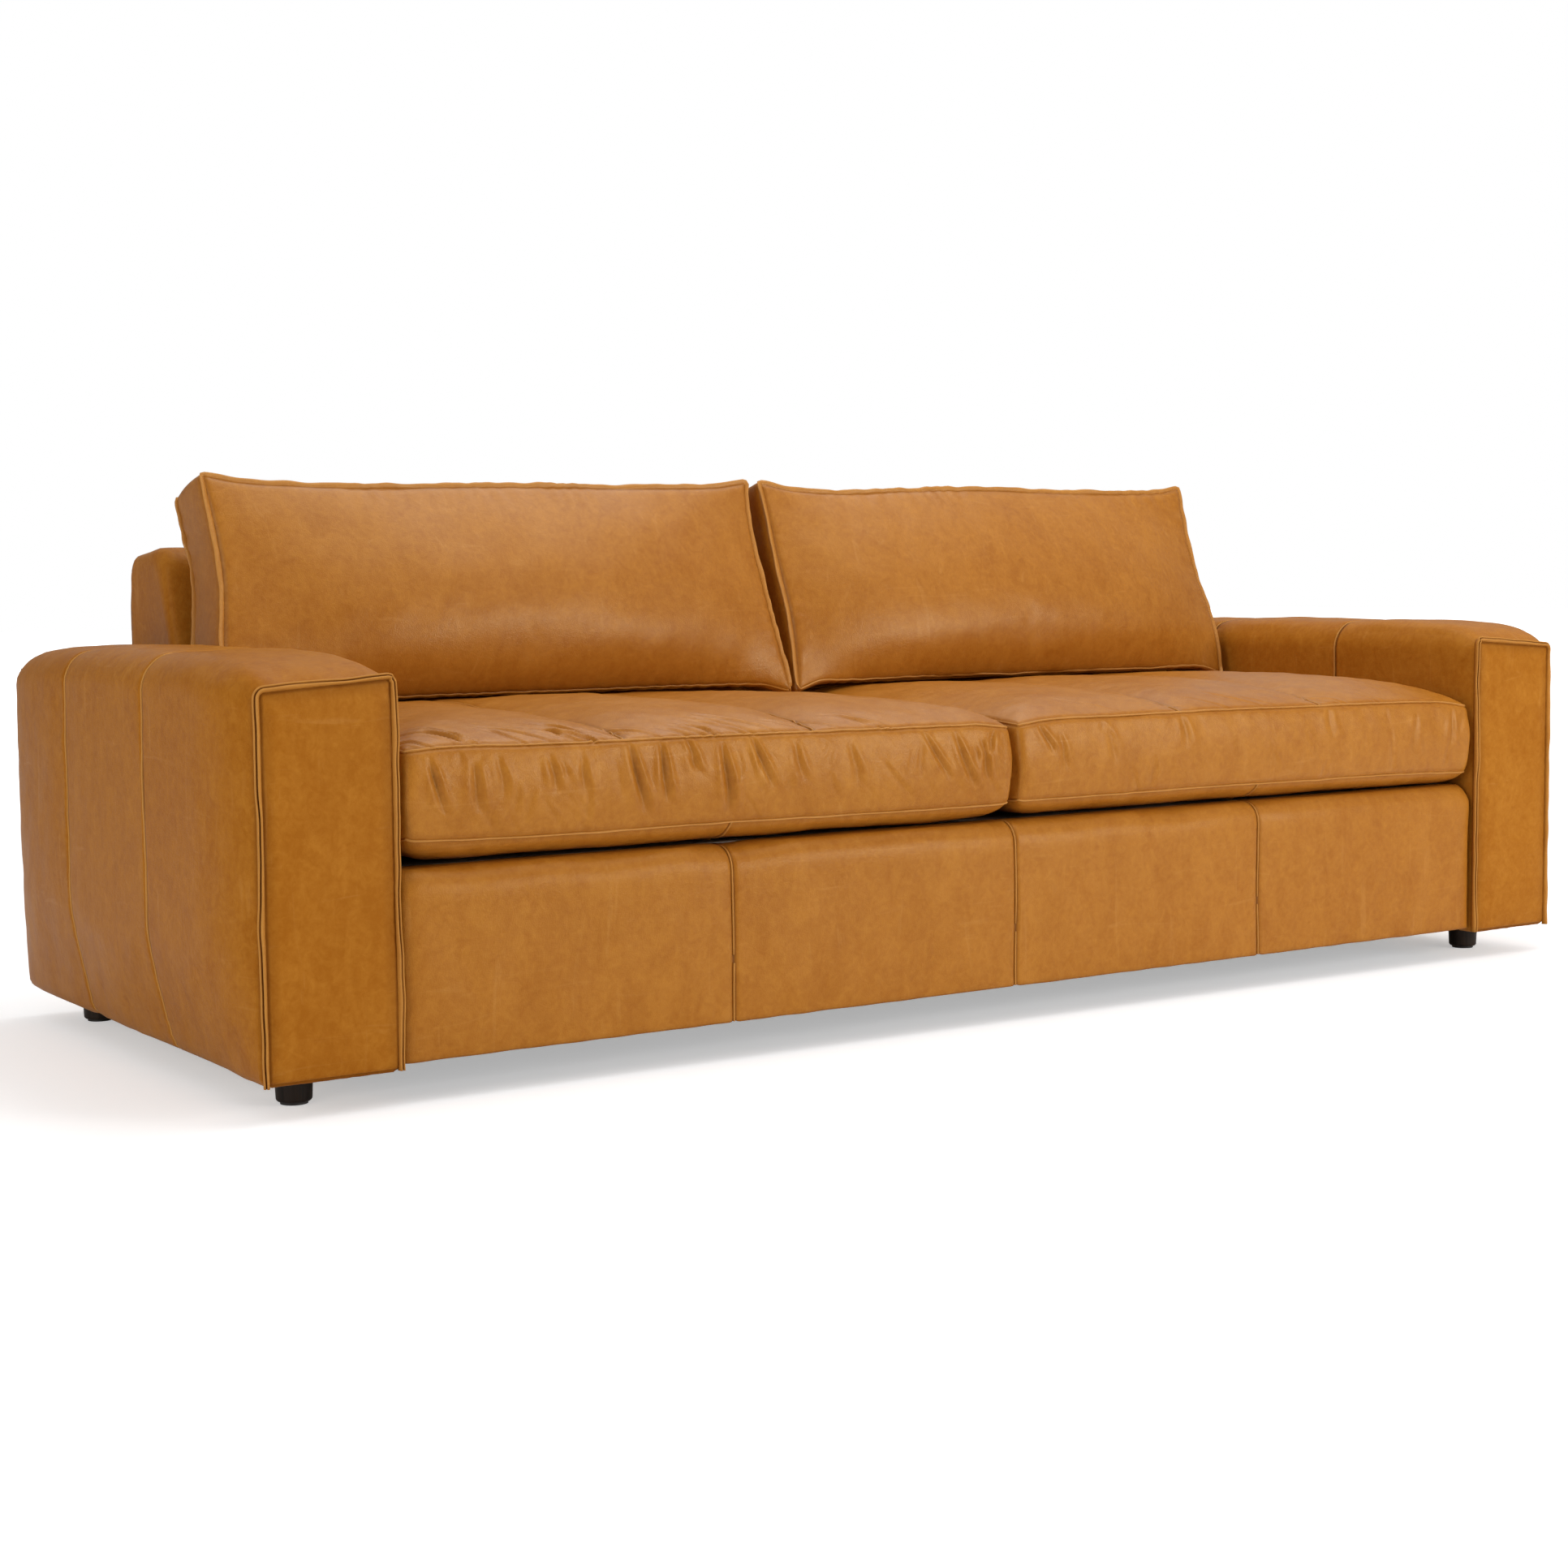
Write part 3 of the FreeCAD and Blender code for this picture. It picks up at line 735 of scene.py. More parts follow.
def makeArmFront(side, look=armShape):
    sign = sides[side]
    low, high = (np.array(c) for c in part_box("arm_front_panel_right"))
    inset = look["flangeInset"]
    start = (low[0] + inset, low[1] + 0.0005, low[2] + 0.001)
    stop = (high[0] - look["sideInset"], high[1] + 0.0015, high[2] - inset)
    rim = (0.0, 0.0025, 0.005, 0.0075)
    keepX = [start[0] + r for r in rim] + [stop[0] - r for r in rim]
    keepZ = [start[2] + r for r in rim] + [stop[2] - r for r in rim]
    cuts = [spread(start[0], stop[0], 0.011, keep=keepX), [],
            spread(start[2], stop[2], 0.011, keep=keepZ)]
    piece = griddedBox("arm_front_" + side, start, stop, cuts)
    flat = readFlat(piece)
    middle = (np.array(start) + np.array(stop)) / 2
    half = (np.array(stop) - np.array(start)) / 2
    u, v = (flat[:, 0] - middle[0]) / half[0], (flat[:, 2] - middle[2]) / half[2]
    a, b = roundedSection(u, v, half[0], half[2], 0.008, 0.006)
    edge = np.minimum(half[0] - np.abs(a), half[2] - np.abs(b))
    front = flat[:, 1] < middle[1]
    swell = look["frontPuff"] * rise(edge, 0.012) - 0.0006 * bell(edge, 0.003)
    swell += 0.0007 * ripple(flat, 0.17, 71 + sign) * rise(edge, 0.03)
    tucks = np.sin((flat[:, 0] + flat[:, 2]) * fullTurn / 0.02 + 2 * ripple(flat, 0.07, 75 + sign))
    swell += 0.0004 * tucks * bell(edge - 0.008, 0.01)
    y = flat[:, 1] - swell * front
    shaped = np.stack([middle[0] + a, y, middle[2] + b], axis=1)

    def fallen(x, z):
        share = np.clip((x - start[0]) / (stop[0] - start[0]), 0, 1) - 0.35
        upper = np.clip((z - middle[2]) / half[2], 0, 1) ** 2
        return z - look["frontFall"] * share * upper

    shaped[:, 2] = fallen(shaped[:, 0], shaped[:, 2])
    writePoints(piece, shaped * (sign, 1, 1))
    # painted shade: a thin dark band beside the flange
    besideFlange = np.minimum(half[0] - np.abs(a), half[2] - b)
    writeValue(piece, "crease", 0.7 * bell(besideFlange - 0.0040, 0.0034) * front)
    writeValue(piece, "panel", np.full(len(flat), look["frontTone"] + 0.2 * sign))
    recalculateOutside(piece)
    smoothShade(piece)
    dress(piece, armLeather)

    # the flange: up one side, across the top and down the other
    r, step = look["flangeCorner"], look["flangeStep"]
    x0, x1, z0, z1 = start[0], stop[0], start[2] - 0.0045, stop[2]
    route = [((x1, z), (1, 0)) for z in np.arange(z0, z1 - r, step)]
    route += [((x1 - r + r * math.cos(turn), z1 - r + r * math.sin(turn)), (math.cos(turn), math.sin(turn)))
              for turn in np.linspace(0, 0.5 * math.pi, 9)]
    route += [((x, z1), (0, 1)) for x in np.arange(x1 - r - step, x0 + r, -step)]
    route += [((x0 + r + r * math.cos(turn), z1 - r + r * math.sin(turn)), (math.cos(turn), math.sin(turn)))
              for turn in np.linspace(0.5 * math.pi, math.pi, 9)]
    route += [((x0, z), (-1, 0)) for z in np.arange(z1 - r - step, z0 - 0.001, -step)]
    root = np.array([(x * sign, low[1] + 0.0022, fallen(x, z)) for (x, z), _ in route])
    out = np.array([(x * sign, 0, z) for _, (x, z) in route])
    forward = np.array([0, -1.0, 0])
    leans = look["flangeLean"]
    lean = np.where(root[:, 0] * sign < (x0 + x1) / 2, leans["inner"], leans["outer"])
    lean = np.where(np.abs(out[:, 0]) > 0.7, lean, leans["top"])
    direction = out * np.sqrt(1 - lean**2)[:, None] + forward * lean[:, None]
    across = out * lean[:, None] - forward * np.sqrt(1 - lean**2)[:, None]
    # the twin flange carries painted shade in its slit and a painted highlight on its two edges
    flange = sweptStrip("arm_flange_" + side, root, direction, across, look["flangeWidth"],
                        look["flangeThick"], wave=look["flangeWave"], seed=81 + sign, twin=True)
    dress(flange, armLeather)
    return piece, flange


print("arms")
for side in sides:
    leather, seams = makeArm(side)
    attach(leather, "sofa_frame")
    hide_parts("arm_cover_" + side, "arm_pad_" + side)
    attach(seams, "sofa_frame")
    face, flange = makeArmFront(side)
    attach(face, "sofa_frame")
    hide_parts("arm_front_panel_" + side)
    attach(flange, "sofa_frame")


# front rail
railShape = {
    "grid": 0.012, "panels": 4, "topRadius": 0.034, "puff": 0.0038, "leather": 0.002,
    "groove": 0.0034, "grooveWidth": 0.0040, "ridge": 0.0029, "ridgeThick": 0.0025,
    "endRound": 0.020, "puckerStep": 0.026, "pucker": 0.0005, "sag": 0.0016,
    "tones": (0.25, -0.2, 0.4, 0.0),
}


def makeFrontRail(look=railShape):
    low, high = (np.array(c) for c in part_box("front_rail_cover"))
    width = high[0] - low[0]
    seams = [low[0] + width * i / look["panels"] for i in range(1, look["panels"])]
    cuts = [
        spread(low[0], high[0], look["grid"], near=seams, fine=besideSeam,
               keep=[low[0] + 0.003, low[0] + 0.007, high[0] - 0.003, high[0] - 0.007]),
        spread(low[1], high[1], 0.006),
        spread(low[2], high[2], look["grid"], keep=[low[2] + 0.003, low[2] + 0.007]),
    ]
    piece = griddedBox("front_rail_leather", low, high, cuts)
    flat = readFlat(piece)
    fromFront = flat[:, 1] - low[1]
    fromTop = high[2] - flat[:, 2]
    fromEnd = np.minimum(flat[:, 0] - low[0], high[0] - flat[:, 0])
    fromSeam = np.min([np.abs(flat[:, 0] - s) for s in seams], axis=0)
    # round the top front edge, and the corners beside the arms
    r = look["topRadius"]
    co = flat.copy()
    inY, inZ = np.clip(r - fromFront, 0, r), np.clip(r - fromTop, 0, r)
    away = np.maximum(np.hypot(inY, inZ), 1e-9)
    corner = (inY > 0) & (inZ > 0)
    pull = np.where(corner, np.maximum(inY, inZ) / away, 1.0)
    co[:, 1] = np.where(corner, low[1] + r - inY * pull, co[:, 1])
    co[:, 2] = np.where(corner, high[2] - r + inZ * pull, co[:, 2])
    short = np.clip(1 - fromEnd / look["endRound"], 0, 1)
    drop = look["endRound"] * (1 - np.sqrt(1 - short**2))
    co[:, 2] -= 0.75 * drop * ease(flat[:, 2], high[2] - 0.05, high[2])
    co[:, 1] += 0.30 * drop * (1 - ease(fromFront, 0.0, 0.02))
    writePoints(piece, co)
    normals = readNormals(piece)
    lowEdge = flat[:, 2] - low[2]
    swell = look["puff"] * (1 - bell(fromSeam, 0.06)) * rise(fromEnd, 0.02) * rise(lowEdge, 0.03)
    swell -= look["groove"] * bell(fromSeam, look["grooveWidth"])
    swell += 0.0011 * ripple(flat, 0.26, 91) * rise(lowEdge, 0.03) + 0.0004 * ripple(flat, 0.06, 92)
    pucker = np.sin(flat[:, 2] * fullTurn / look["puckerStep"] + 1.5 * ripple(flat, 0.07, 93))
    swell += look["pucker"] * pucker * bell(fromSeam - 0.010, 0.012) * (0.3 + 0.7 * bell(lowEdge, 0.05))
    sagging = look["sag"] * ripple(flat * (1, 0, 0), 0.20, 94) * bell(fromTop, 0.05)
    swell = np.where(flat[:, 1] > high[1] - tiny, 0, swell)
    co = co + normals * swell[:, None]
    co[:, 2] += sagging
    co[:, 2] = np.minimum(co[:, 2], high[2] - 0.0002)
    # painted shade along the seams and along the bottom edge
    writeValue(piece, "crease", 0.85 * bell(fromSeam, 0.0032) + 0.35 * bell(lowEdge, 0.003))
    writeValue(piece, "panel", np.array(look["tones"])[np.digitize(flat[:, 0], seams)])
    writePoints(piece, co)
    normals = readNormals(piece)
    ridges = []
    for number, seam in enumerate(seams):
        chosen = np.abs(flat[:, 0] - seam) < tiny
        order = inOrder(flat, chosen, (1, 2), -0.5 * math.pi - 0.6)
        keep = [i for i in order[::-1] if flat[i, 1] < high[1] - 1e-4]
        across = np.tile([1.0, 0, 0], (len(keep), 1))
        ridges.append(seamEdge(f"ridge{number}", co[keep], normals[keep], across, look, 95 + number))
    removeFaces(piece, lambda centre, normal: centre.y > high[1] - 1e-4 and abs(normal.y) > 0.9)
    thicken(piece, look["leather"])
    smoothShade(piece)
    dress(piece, railLeather)
    for ridge in ridges:
        dress(ridge, railLeather)
    return piece, join(ridges, "front_rail_seams")


print("front rail")
rail, railSeams = makeFrontRail()
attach(rail, "sofa_frame")
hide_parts("front_rail_cover", "front_rail_pad")
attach(railSeams, "sofa_frame")


# back frame
backShape = {
    "grid": 0.013, "panels": 3, "browRadius": 0.034, "rearRadius": 0.018, "endRound": 0.016,
    "slopeStart": 0.47, "panelCorner": 0.020, "puff": 0.003, "leather": 0.0022, "groove": 0.0026,
    "grooveWidth": 0.0034, "ridge": 0.0026, "ridgeThick": 0.0023, "browBack": 0.020, "fall": 0.015,
    "panelBulge": 0.0045, "welt": 0.006, "weltInset": 0.006, "weltStep": 0.012,
    "tones": (0.1, -0.35, 0.3), "panelTones": (-0.2, 0.3, -0.1),
}


def makeBackFrame(look=backShape):
    low, high = (np.array(c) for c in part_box("inside_back_cover"))
    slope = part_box("back_top_rail")[0].y - low[1] - look["browBack"]    # how far the brow stands back
    width = high[0] - low[0]
    seams = [low[0] + width * i / look["panels"] for i in range(1, look["panels"])]
    ends = [0.002, 0.005, 0.009, 0.014]
    cuts = [
        spread(low[0], high[0], look["grid"], near=seams, fine=besideSeam,
               keep=[low[0] + e for e in ends] + [high[0] - e for e in ends]),
        spread(low[1], high[1], look["grid"]),
        spread(low[2], high[2], look["grid"]),
    ]
    piece = griddedBox("back_frame_leather", low, high, cuts)
    flat = readFlat(piece)
    deep, tall = high[1] - low[1], high[2] - low[2]
    v = (flat[:, 2] - low[2]) / tall
    w = (flat[:, 1] - low[1]) / deep
    fromEnd = np.minimum(flat[:, 0] - low[0], high[0] - flat[:, 0])
    short = np.clip(1 - fromEnd / look["endRound"], 0, 1)
    drop = look["endRound"] * (1 - np.sqrt(1 - short**2))
    start = (look["slopeStart"] - low[2]) / tall
    lean = slope * np.clip((v - start) / (1 - start), 0, 1)
    lean = lean + 0.004 * bell(v - start, 0.08)
    front = low[1] + lean + drop
    rear = high[1] - 0.6 * drop * ease(v, 0.8, 1.0)
    r = np.where(w < 0.5, look["browRadius"], look["rearRadius"])
    near = np.where(w < 0.5, w * (rear - front), (1 - w) * (rear - front))
    below = (1 - v) * tall
    inY, inZ = np.clip(r - near, 0, None), np.clip(r - below, 0, None)
    corner = (inY > 0) & (inZ > 0)
    away = np.maximum(np.hypot(inY, inZ), 1e-9)
    pull = np.where(corner, np.maximum(inY, inZ) / away, 1.0)
    nearNew = np.where(corner, r - inY * pull, near)
    belowNew = np.where(corner, r - inZ * pull, below)
    y = np.where(w < 0.5, front + nearNew, rear - nearNew)
    z = high[2] - belowNew - drop * ease(v, 0.7, 1.0) - look["fall"] * w * ease(v, 0.6, 1.0)
    co = np.stack([flat[:, 0], y, z], axis=1)
    writePoints(piece, co)
    normals = readNormals(piece)
    fromSeam = np.min([np.abs(flat[:, 0] - s) for s in seams], axis=0)
    inside = rise(fromEnd, 0.012)
    swell = look["puff"] * (1 - bell(fromSeam, 0.07)) - look["groove"] * bell(fromSeam, look["grooveWidth"])
    swell += 0.0013 * ripple(flat, 0.24, 101) + 0.0004 * ripple(flat, 0.07, 102)
    resting = ((w > 0.999) & (v < 0.96)) | (v < 0.001)
    swell = np.where(resting, np.minimum(swell, 0), swell * inside)
    atEnd = fromEnd < tiny
    co = co + normals * swell[:, None]
    puffEnd = 0.004 * np.sin(np.clip(w, 0, 1) * math.pi) * np.sin(np.clip(v, 0, 1) * math.pi)
    co[:, 0] -= np.where(atEnd, puffEnd * np.sign(flat[:, 0]), 0)
    co[:, 1] = np.minimum(co[:, 1], high[1] + 0.0002)
    # painted shade along the seams
    writeValue(piece, "crease", 0.55 * bell(fromSeam, 0.0022))
    writeValue(piece, "panel", np.array(look["tones"])[np.digitize(flat[:, 0], seams)])
    writePoints(piece, co)
    normals = readNormals(piece)
    ridges = []
    for number, seam in enumerate(seams):
        chosen = np.abs(flat[:, 0] - seam) < tiny
        order = inOrder(flat, chosen, (1, 2), -0.5 * math.pi)
        keep = [i for i in order if flat[i, 2] > low[2] + tiny and
                not (flat[i, 1] > high[1] - tiny and flat[i, 2] < high[2] - 0.03)]
        across = np.tile([1.0, 0, 0], (len(keep), 1))
        ridges.append(seamEdge(f"ridge{number}", co[keep], normals[keep], across, look, 105 + number))
    removeFaces(piece, lambda centre, normal: normal.z < -0.9 and centre.z < low[2] + 0.002)
    thicken(piece, look["leather"])
    smoothShade(piece)
    dress(piece, backLeather)
    for ridge in ridges:
        dress(ridge, backLeather)
    return piece, join(ridges, "back_frame_seams")


def makeOutsideBack(look=backShape):
    # the panel tacked over the rear of the frame, with a welt on three sides
    low, high = (np.array(c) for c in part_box("outside_back_cover"))
    width = high[0] - low[0]
    seams = [low[0] + width * i / look["panels"] for i in range(1, look["panels"])]
    ends = [0.003, 0.008]
    cuts = [
        spread(low[0], high[0], look["grid"], near=seams, fine=besideSeam,
               keep=[low[0] + e for e in ends] + [high[0] - e for e in ends]),
        [],
        spread(low[2], high[2], look["grid"],
               keep=[low[2] + e for e in ends] + [high[2] - e for e in ends]),
    ]
    piece = griddedBox("outside_back_leather", low, high, cuts)
    flat = readFlat(piece)
    fromSeam = np.min([np.abs(flat[:, 0] - s) for s in seams], axis=0)
    edge = fromBorder(flat[:, 0], flat[:, 2], low[::2], high[::2])
    swell = look["panelBulge"] * rise(edge, 0.05) * (1 - 0.55 * bell(fromSeam, 0.05))
    swell += 0.0013 * ripple(flat, 0.3, 111) * rise(edge, 0.04)
    swell -= 0.0012 * bell(fromSeam, look["grooveWidth"])
    rear = flat[:, 1] > (low[1] + high[1]) / 2
    middle, half = (low + high) / 2, (high - low) / 2
    u, v = (flat[:, 0] - middle[0]) / half[0], (flat[:, 2] - middle[2]) / half[2]
    r = look["panelCorner"]
    a, b = roundedSection(u, v, half[0] - 0.003, half[2], r, 0.002)
    co = np.stack([middle[0] + a, flat[:, 1] + swell * rear, middle[2] + b], axis=1)
    writePoints(piece, co)
    # painted shade along the seams and round the border beside the welt
    writeValue(piece, "crease", 0.5 * bell(fromSeam, 0.0022) + 0.4 * bell(edge, 0.004))
    writeValue(piece, "panel", np.array(look["panelTones"])[np.digitize(flat[:, 0], seams)])
    smoothShade(piece)
    dress(piece, backLeather)
    ridges = []
    for number, seam in enumerate(seams):
        chosen = (np.abs(flat[:, 0] - seam) < tiny) & rear
        order = np.nonzero(chosen)[0]
        order = order[np.argsort(flat[order, 2])]
        away = np.tile([0, 1.0, 0], (len(order), 1))
        across = np.tile([1.0, 0, 0], (len(order), 1))
        ridges.append(seamEdge(f"ridge{number}", co[order], away, across, look, 115 + number))
    inset, step = look["weltInset"], look["weltStep"]
    top = high[2] - 0.002
    path = [(high[0] - inset, z) for z in np.arange(low[2], top - r, step)]
    path += [(high[0] - inset - r + r * math.cos(t), top - r + r * math.sin(t))
             for t in np.linspace(0, 0.5 * math.pi, 8)]
    path += [(x, top) for x in np.arange(high[0] - inset - r - step, low[0] + inset + r, -step)]
    path += [(low[0] + inset + r + r * math.cos(t), top - r + r * math.sin(t))
             for t in np.linspace(0.5 * math.pi, math.pi, 8)]
    path += [(low[0] + inset, z) for z in np.arange(top - r - step, low[2] - 0.001, -step)]
    root = np.array([(x, high[1] - 0.0005, z) for x, z in path])
    along = np.gradient(root, axis=0)
    along /= np.linalg.norm(along, axis=1)[:, None]
    away = np.tile([0, 1.0, 0], (len(root), 1))
    ridges.append(sweptStrip("welt", root, away, np.cross(along, away), look["welt"] * 0.75,
                             look["welt"] * 0.8, wave=0.0006, seed=118))
    for ridge in ridges:
        dress(ridge, backLeather)
    return piece, join(ridges, "outside_back_seams")


print("back frame")
backFrame, backSeams = makeBackFrame()
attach(backFrame, "sofa_frame")
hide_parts("inside_back_cover", "back_pad")
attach(backSeams, "sofa_frame")
outsideBack, outsideSeams = makeOutsideBack()
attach(outsideBack, "sofa_frame")
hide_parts("outside_back_cover")
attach(outsideSeams, "sofa_frame")


# loose cushions
clothSettings = {
    "quality": 5, "mass": 0.4, "air_damping": 2.0, "bending_stiffness": 0.6,
    "tension_stiffness": 30, "compression_stiffness": 30, "shear_stiffness": 12,
    "tension_damping": 8, "compression_damping": 8, "shear_damping": 8,
    "pin_stiffness": 6, "use_pressure": True, "shrink_min": 0.0, "shrink_max": -0.06,
}


def pressed(piece, pins, growth, look):
    # lets the leather fill out between its seams, which are held
    start = readPoints(piece)
    held = piece.vertex_groups.new(name="held")
    for index, weight in enumerate(pins):
        if weight > 0:
            held.add([index], float(weight), "REPLACE")
    loose = piece.vertex_groups.new(name="loose")
    for index, weight in enumerate(growth):
        loose.add([index], float(weight), "REPLACE")
    cloth = piece.modifiers.new("cloth", "CLOTH")
    settings = cloth.settings
    for key, value in clothSettings.items():
        setattr(settings, key, value)
    settings.vertex_group_mass = "held"
    settings.vertex_group_shrink = "loose"
    settings.uniform_pressure_force = look["pressure"]
    settings.effector_weights.gravity = 0
    cloth.collision_settings.use_collision = False
    cloth.collision_settings.use_self_collision = False
    scene = bpy.context.scene
    scene.frame_start = 1
    scene.frame_end = look["frames"]
    cloth.point_cache.frame_start = 1
    cloth.point_cache.frame_end = look["frames"]
    for step in range(1, look["frames"] + 1):
        scene.frame_set(step)
    makeActive(piece)
    bpy.ops.object.modifier_apply(modifier="cloth")
    scene.frame_set(1)
    piece.vertex_groups.clear()
    end = readPoints(piece)
    moved = end - start
    length = np.maximum(np.linalg.norm(moved, axis=1), 1e-9)
    end = start + moved * np.minimum(1, look["cap"] / length)[:, None]
    writePoints(piece, end)
    print(piece.name, "largest move mm", round(length.max() * 1000, 1),
          "mean", round(length.mean() * 1000, 1))


seatShape = {
    "grid": 0.0115,
    "topSeam": 0.150, "bottomSeam": 0.027,       # above the deck
    "corner": 0.017, "inset": 0.0025, "frontInset": 0.010,
    "crown": 0.037, "crownReach": 0.070, "dip": 0.014, "dipReach": 0.030,
    "bulge": 0.009, "sideBulge": 0.004,
    "panelSeams": (0.330, 0.640),
    "frames": 22, "pressure": 4.0, "cap": 0.024,
    "groove": 0.0024, "grooveWidth": 0.0050, "ridge": 0.0029, "ridgeThick": 0.0023,
    # share of the width, start below the seam, length, width, slant, depth
    "frontFolds": {
        "left": [(0.035, 0.010, 0.080, 0.0043, 0.30, 0.0048), (0.098, 0.020, 0.070, 0.0058, 0.15, 0.0038),
                 (0.138, 0.012, 0.060, 0.0058, 0.05, 0.0027), (0.214, 0.015, 0.055, 0.0058, 0.10, 0.0035),
                 (0.264, 0.020, 0.060, 0.0058, 0.00, 0.0023), (0.335, 0.002, 0.100, 0.0053, 0.22, 0.0060),
                 (0.383, 0.004, 0.085, 0.0048, 0.12, 0.0058), (0.428, 0.000, 0.050, 0.0048, 0.20, 0.0038),
                 (0.485, 0.010, 0.100, 0.0058, 0.06, 0.0061), (0.530, 0.002, 0.075, 0.0048, 0.45, 0.0050),
                 (0.600, 0.012, 0.060, 0.0058, 0.30, 0.0027), (0.700, 0.015, 0.070, 0.0068, 0.15, 0.0025),
                 (0.830, 0.006, 0.075, 0.0048, 0.60, 0.0038), (0.885, 0.010, 0.085, 0.0053, 0.45, 0.0044),
                 (0.935, 0.020, 0.070, 0.0048, 0.20, 0.0040), (0.965, 0.004, 0.050, 0.0043, -0.40, 0.0035)],
        "right": [(0.040, 0.004, 0.050, 0.0048, 0.50, 0.0035), (0.075, 0.020, 0.060, 0.0053, 0.30, 0.0025),
                  (0.180, 0.015, 0.070, 0.0068, 0.10, 0.0017), (0.330, 0.000, 0.060, 0.0063, 0.10, 0.0021),
                  (0.655, 0.002, 0.055, 0.0063, 0.05, 0.0019), (0.860, 0.020, 0.070, 0.0063, -0.10, 0.0017),
                  (0.955, 0.010, 0.070, 0.0048, -0.20, 0.0027)],
    },
    "pleats": {"left": 34, "right": 12}, "pleatDepth": {"left": 0.0036, "right": 0.0016},
    "smallFolds": {"left": 52, "right": 22}, "sideFolds": 14,
    "uneven": 0.0022, "cornerDrop": 0.007, "overCad": 0.010, "lip": 0.9, "tones": (0.15, -0.35, 0.3),
}


def makeSeatCushion(side, look=seatShape):
    sign = sides[side]
    low, high = (np.array(c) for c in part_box("seat_cushion_cover_" + side))
    floorZ = low[2]
    low = low + (look["inset"], look["frontInset"], look["bottomSeam"])
    high = np.array([high[0] - look["inset"], high[1] - look["inset"], floorZ + look["topSeam"]])
    width = high[0] - low[0]
    seams = [low[0] + width * s for s in look["panelSeams"]]
    underSeam = low[0] + width * 0.5
    cuts = [spread(low[0], high[0], look["grid"], keep=seams + [underSeam]),
            spread(low[1], high[1], look["grid"]),
            spread(low[2], high[2], look["grid"])]
    piece = griddedBox("seat_cushion_" + side, low, high, cuts)
    flat = readFlat(piece)
    middle, half = (low + high) / 2, (high - low) / 2
    u, v = (flat[:, 0] - middle[0]) / half[0], (flat[:, 1] - middle[1]) / half[1]
    a, b = roundedSection(u, v, half[0], half[1], look["corner"], look["corner"])
    x, y = middle[0] + a, middle[1] + b
    fromEdge = np.minimum(half[0] - np.abs(flat[:, 0] - middle[0]),
                          half[1] - np.abs(flat[:, 1] - middle[1]))
    onTop = flat[:, 2] > high[2] - tiny
    onBottom = flat[:, 2] < low[2] + tiny
    fromSeam = np.min([np.abs(flat[:, 0] - s) for s in seams], axis=0)
    tall = (flat[:, 2] - low[2]) / (high[2] - low[2])
    # the seams lie a little unevenly, and drop at the front corners
    uneven = look["uneven"] * ripple(flat * (1, 1, 0), 0.5, 121 + sign)
    atCorner = bell(half[0] - np.abs(a), 0.045) * bell(half[1] - np.abs(b), 0.06)
    tilt = {"left": 0.010 * np.exp(-(flat[:, 0] - low[0]) / 0.28),
            "right": -0.005 * np.exp(-(high[0] - flat[:, 0]) / 0.20)}[side]
    tilt = tilt * bell(flat[:, 1] - low[1], 0.16)
    z = flat[:, 2] + uneven + tilt - look["cornerDrop"] * atCorner * tall
    out = look["bulge"] * np.sin(np.clip(tall, 0, 1) * math.pi) * (fromEdge < tiny)
    rim = np.maximum(np.abs(u), np.abs(v))
    x = x + out * np.where(np.abs(u) >= rim - 1e-6, np.sign(u), 0) * look["sideBulge"] / look["bulge"]
    y = y + out * np.where(np.abs(v) >= rim - 1e-6, np.sign(v), 0)
    lift = look["crown"] * rise(fromEdge, look["crownReach"])
    towardBack = ease(flat[:, 1], high[1] - 0.40, high[1] - 0.20)
    lift -= 0.002 * towardBack
    dip = look["dip"] * (1 - 0.85 * towardBack)
    lift -= dip * bell(fromSeam, look["dipReach"]) * rise(fromEdge, 0.04)
    z = z + lift * onTop
    under = low[2] - floorZ - 0.0008
    z = z - (under * rise(fromEdge, 0.020) + (uneven + tilt) * rise(fromEdge, 0.060)) * onBottom
    co = np.stack([x, y, z], axis=1)
    writePoints(piece, co)
    onRing = (fromEdge < tiny) & (onTop | onBottom)
    onPanelSeam = (fromSeam < tiny) & onTop
    pins = np.where(onRing, 1.0, 0.0)
    pins = np.where(onPanelSeam, 1.0, pins)
    pins = np.where(onBottom & (fromEdge > 0.035), 1.0, pins)
    boxing = (~onTop) & (~onBottom)
    folded = {"left": bell(flat[:, 0] - (low[0] + 0.52 * width), 0.24) + 0.35,
              "right": np.full(len(flat), 0.32)}[side]
    growth = np.where(boxing, 0.75 * folded, 0.30)
    nearRing = onTop & (fromEdge < 0.09)
    growth = np.where(nearRing, 0.5 + (0.2 if side == "left" else 0.0), growth)
    growth = np.where(onBottom, 0.1, growth)
    growth = np.clip(growth + 0.16 * ripple(flat, 0.12, 131 + sign), 0, 1)
    pressed(piece, pins, growth, look)
    subdivideSmooth(piece)
    return finishSeatCushion(piece, side, seams, underSeam, low, high, look)


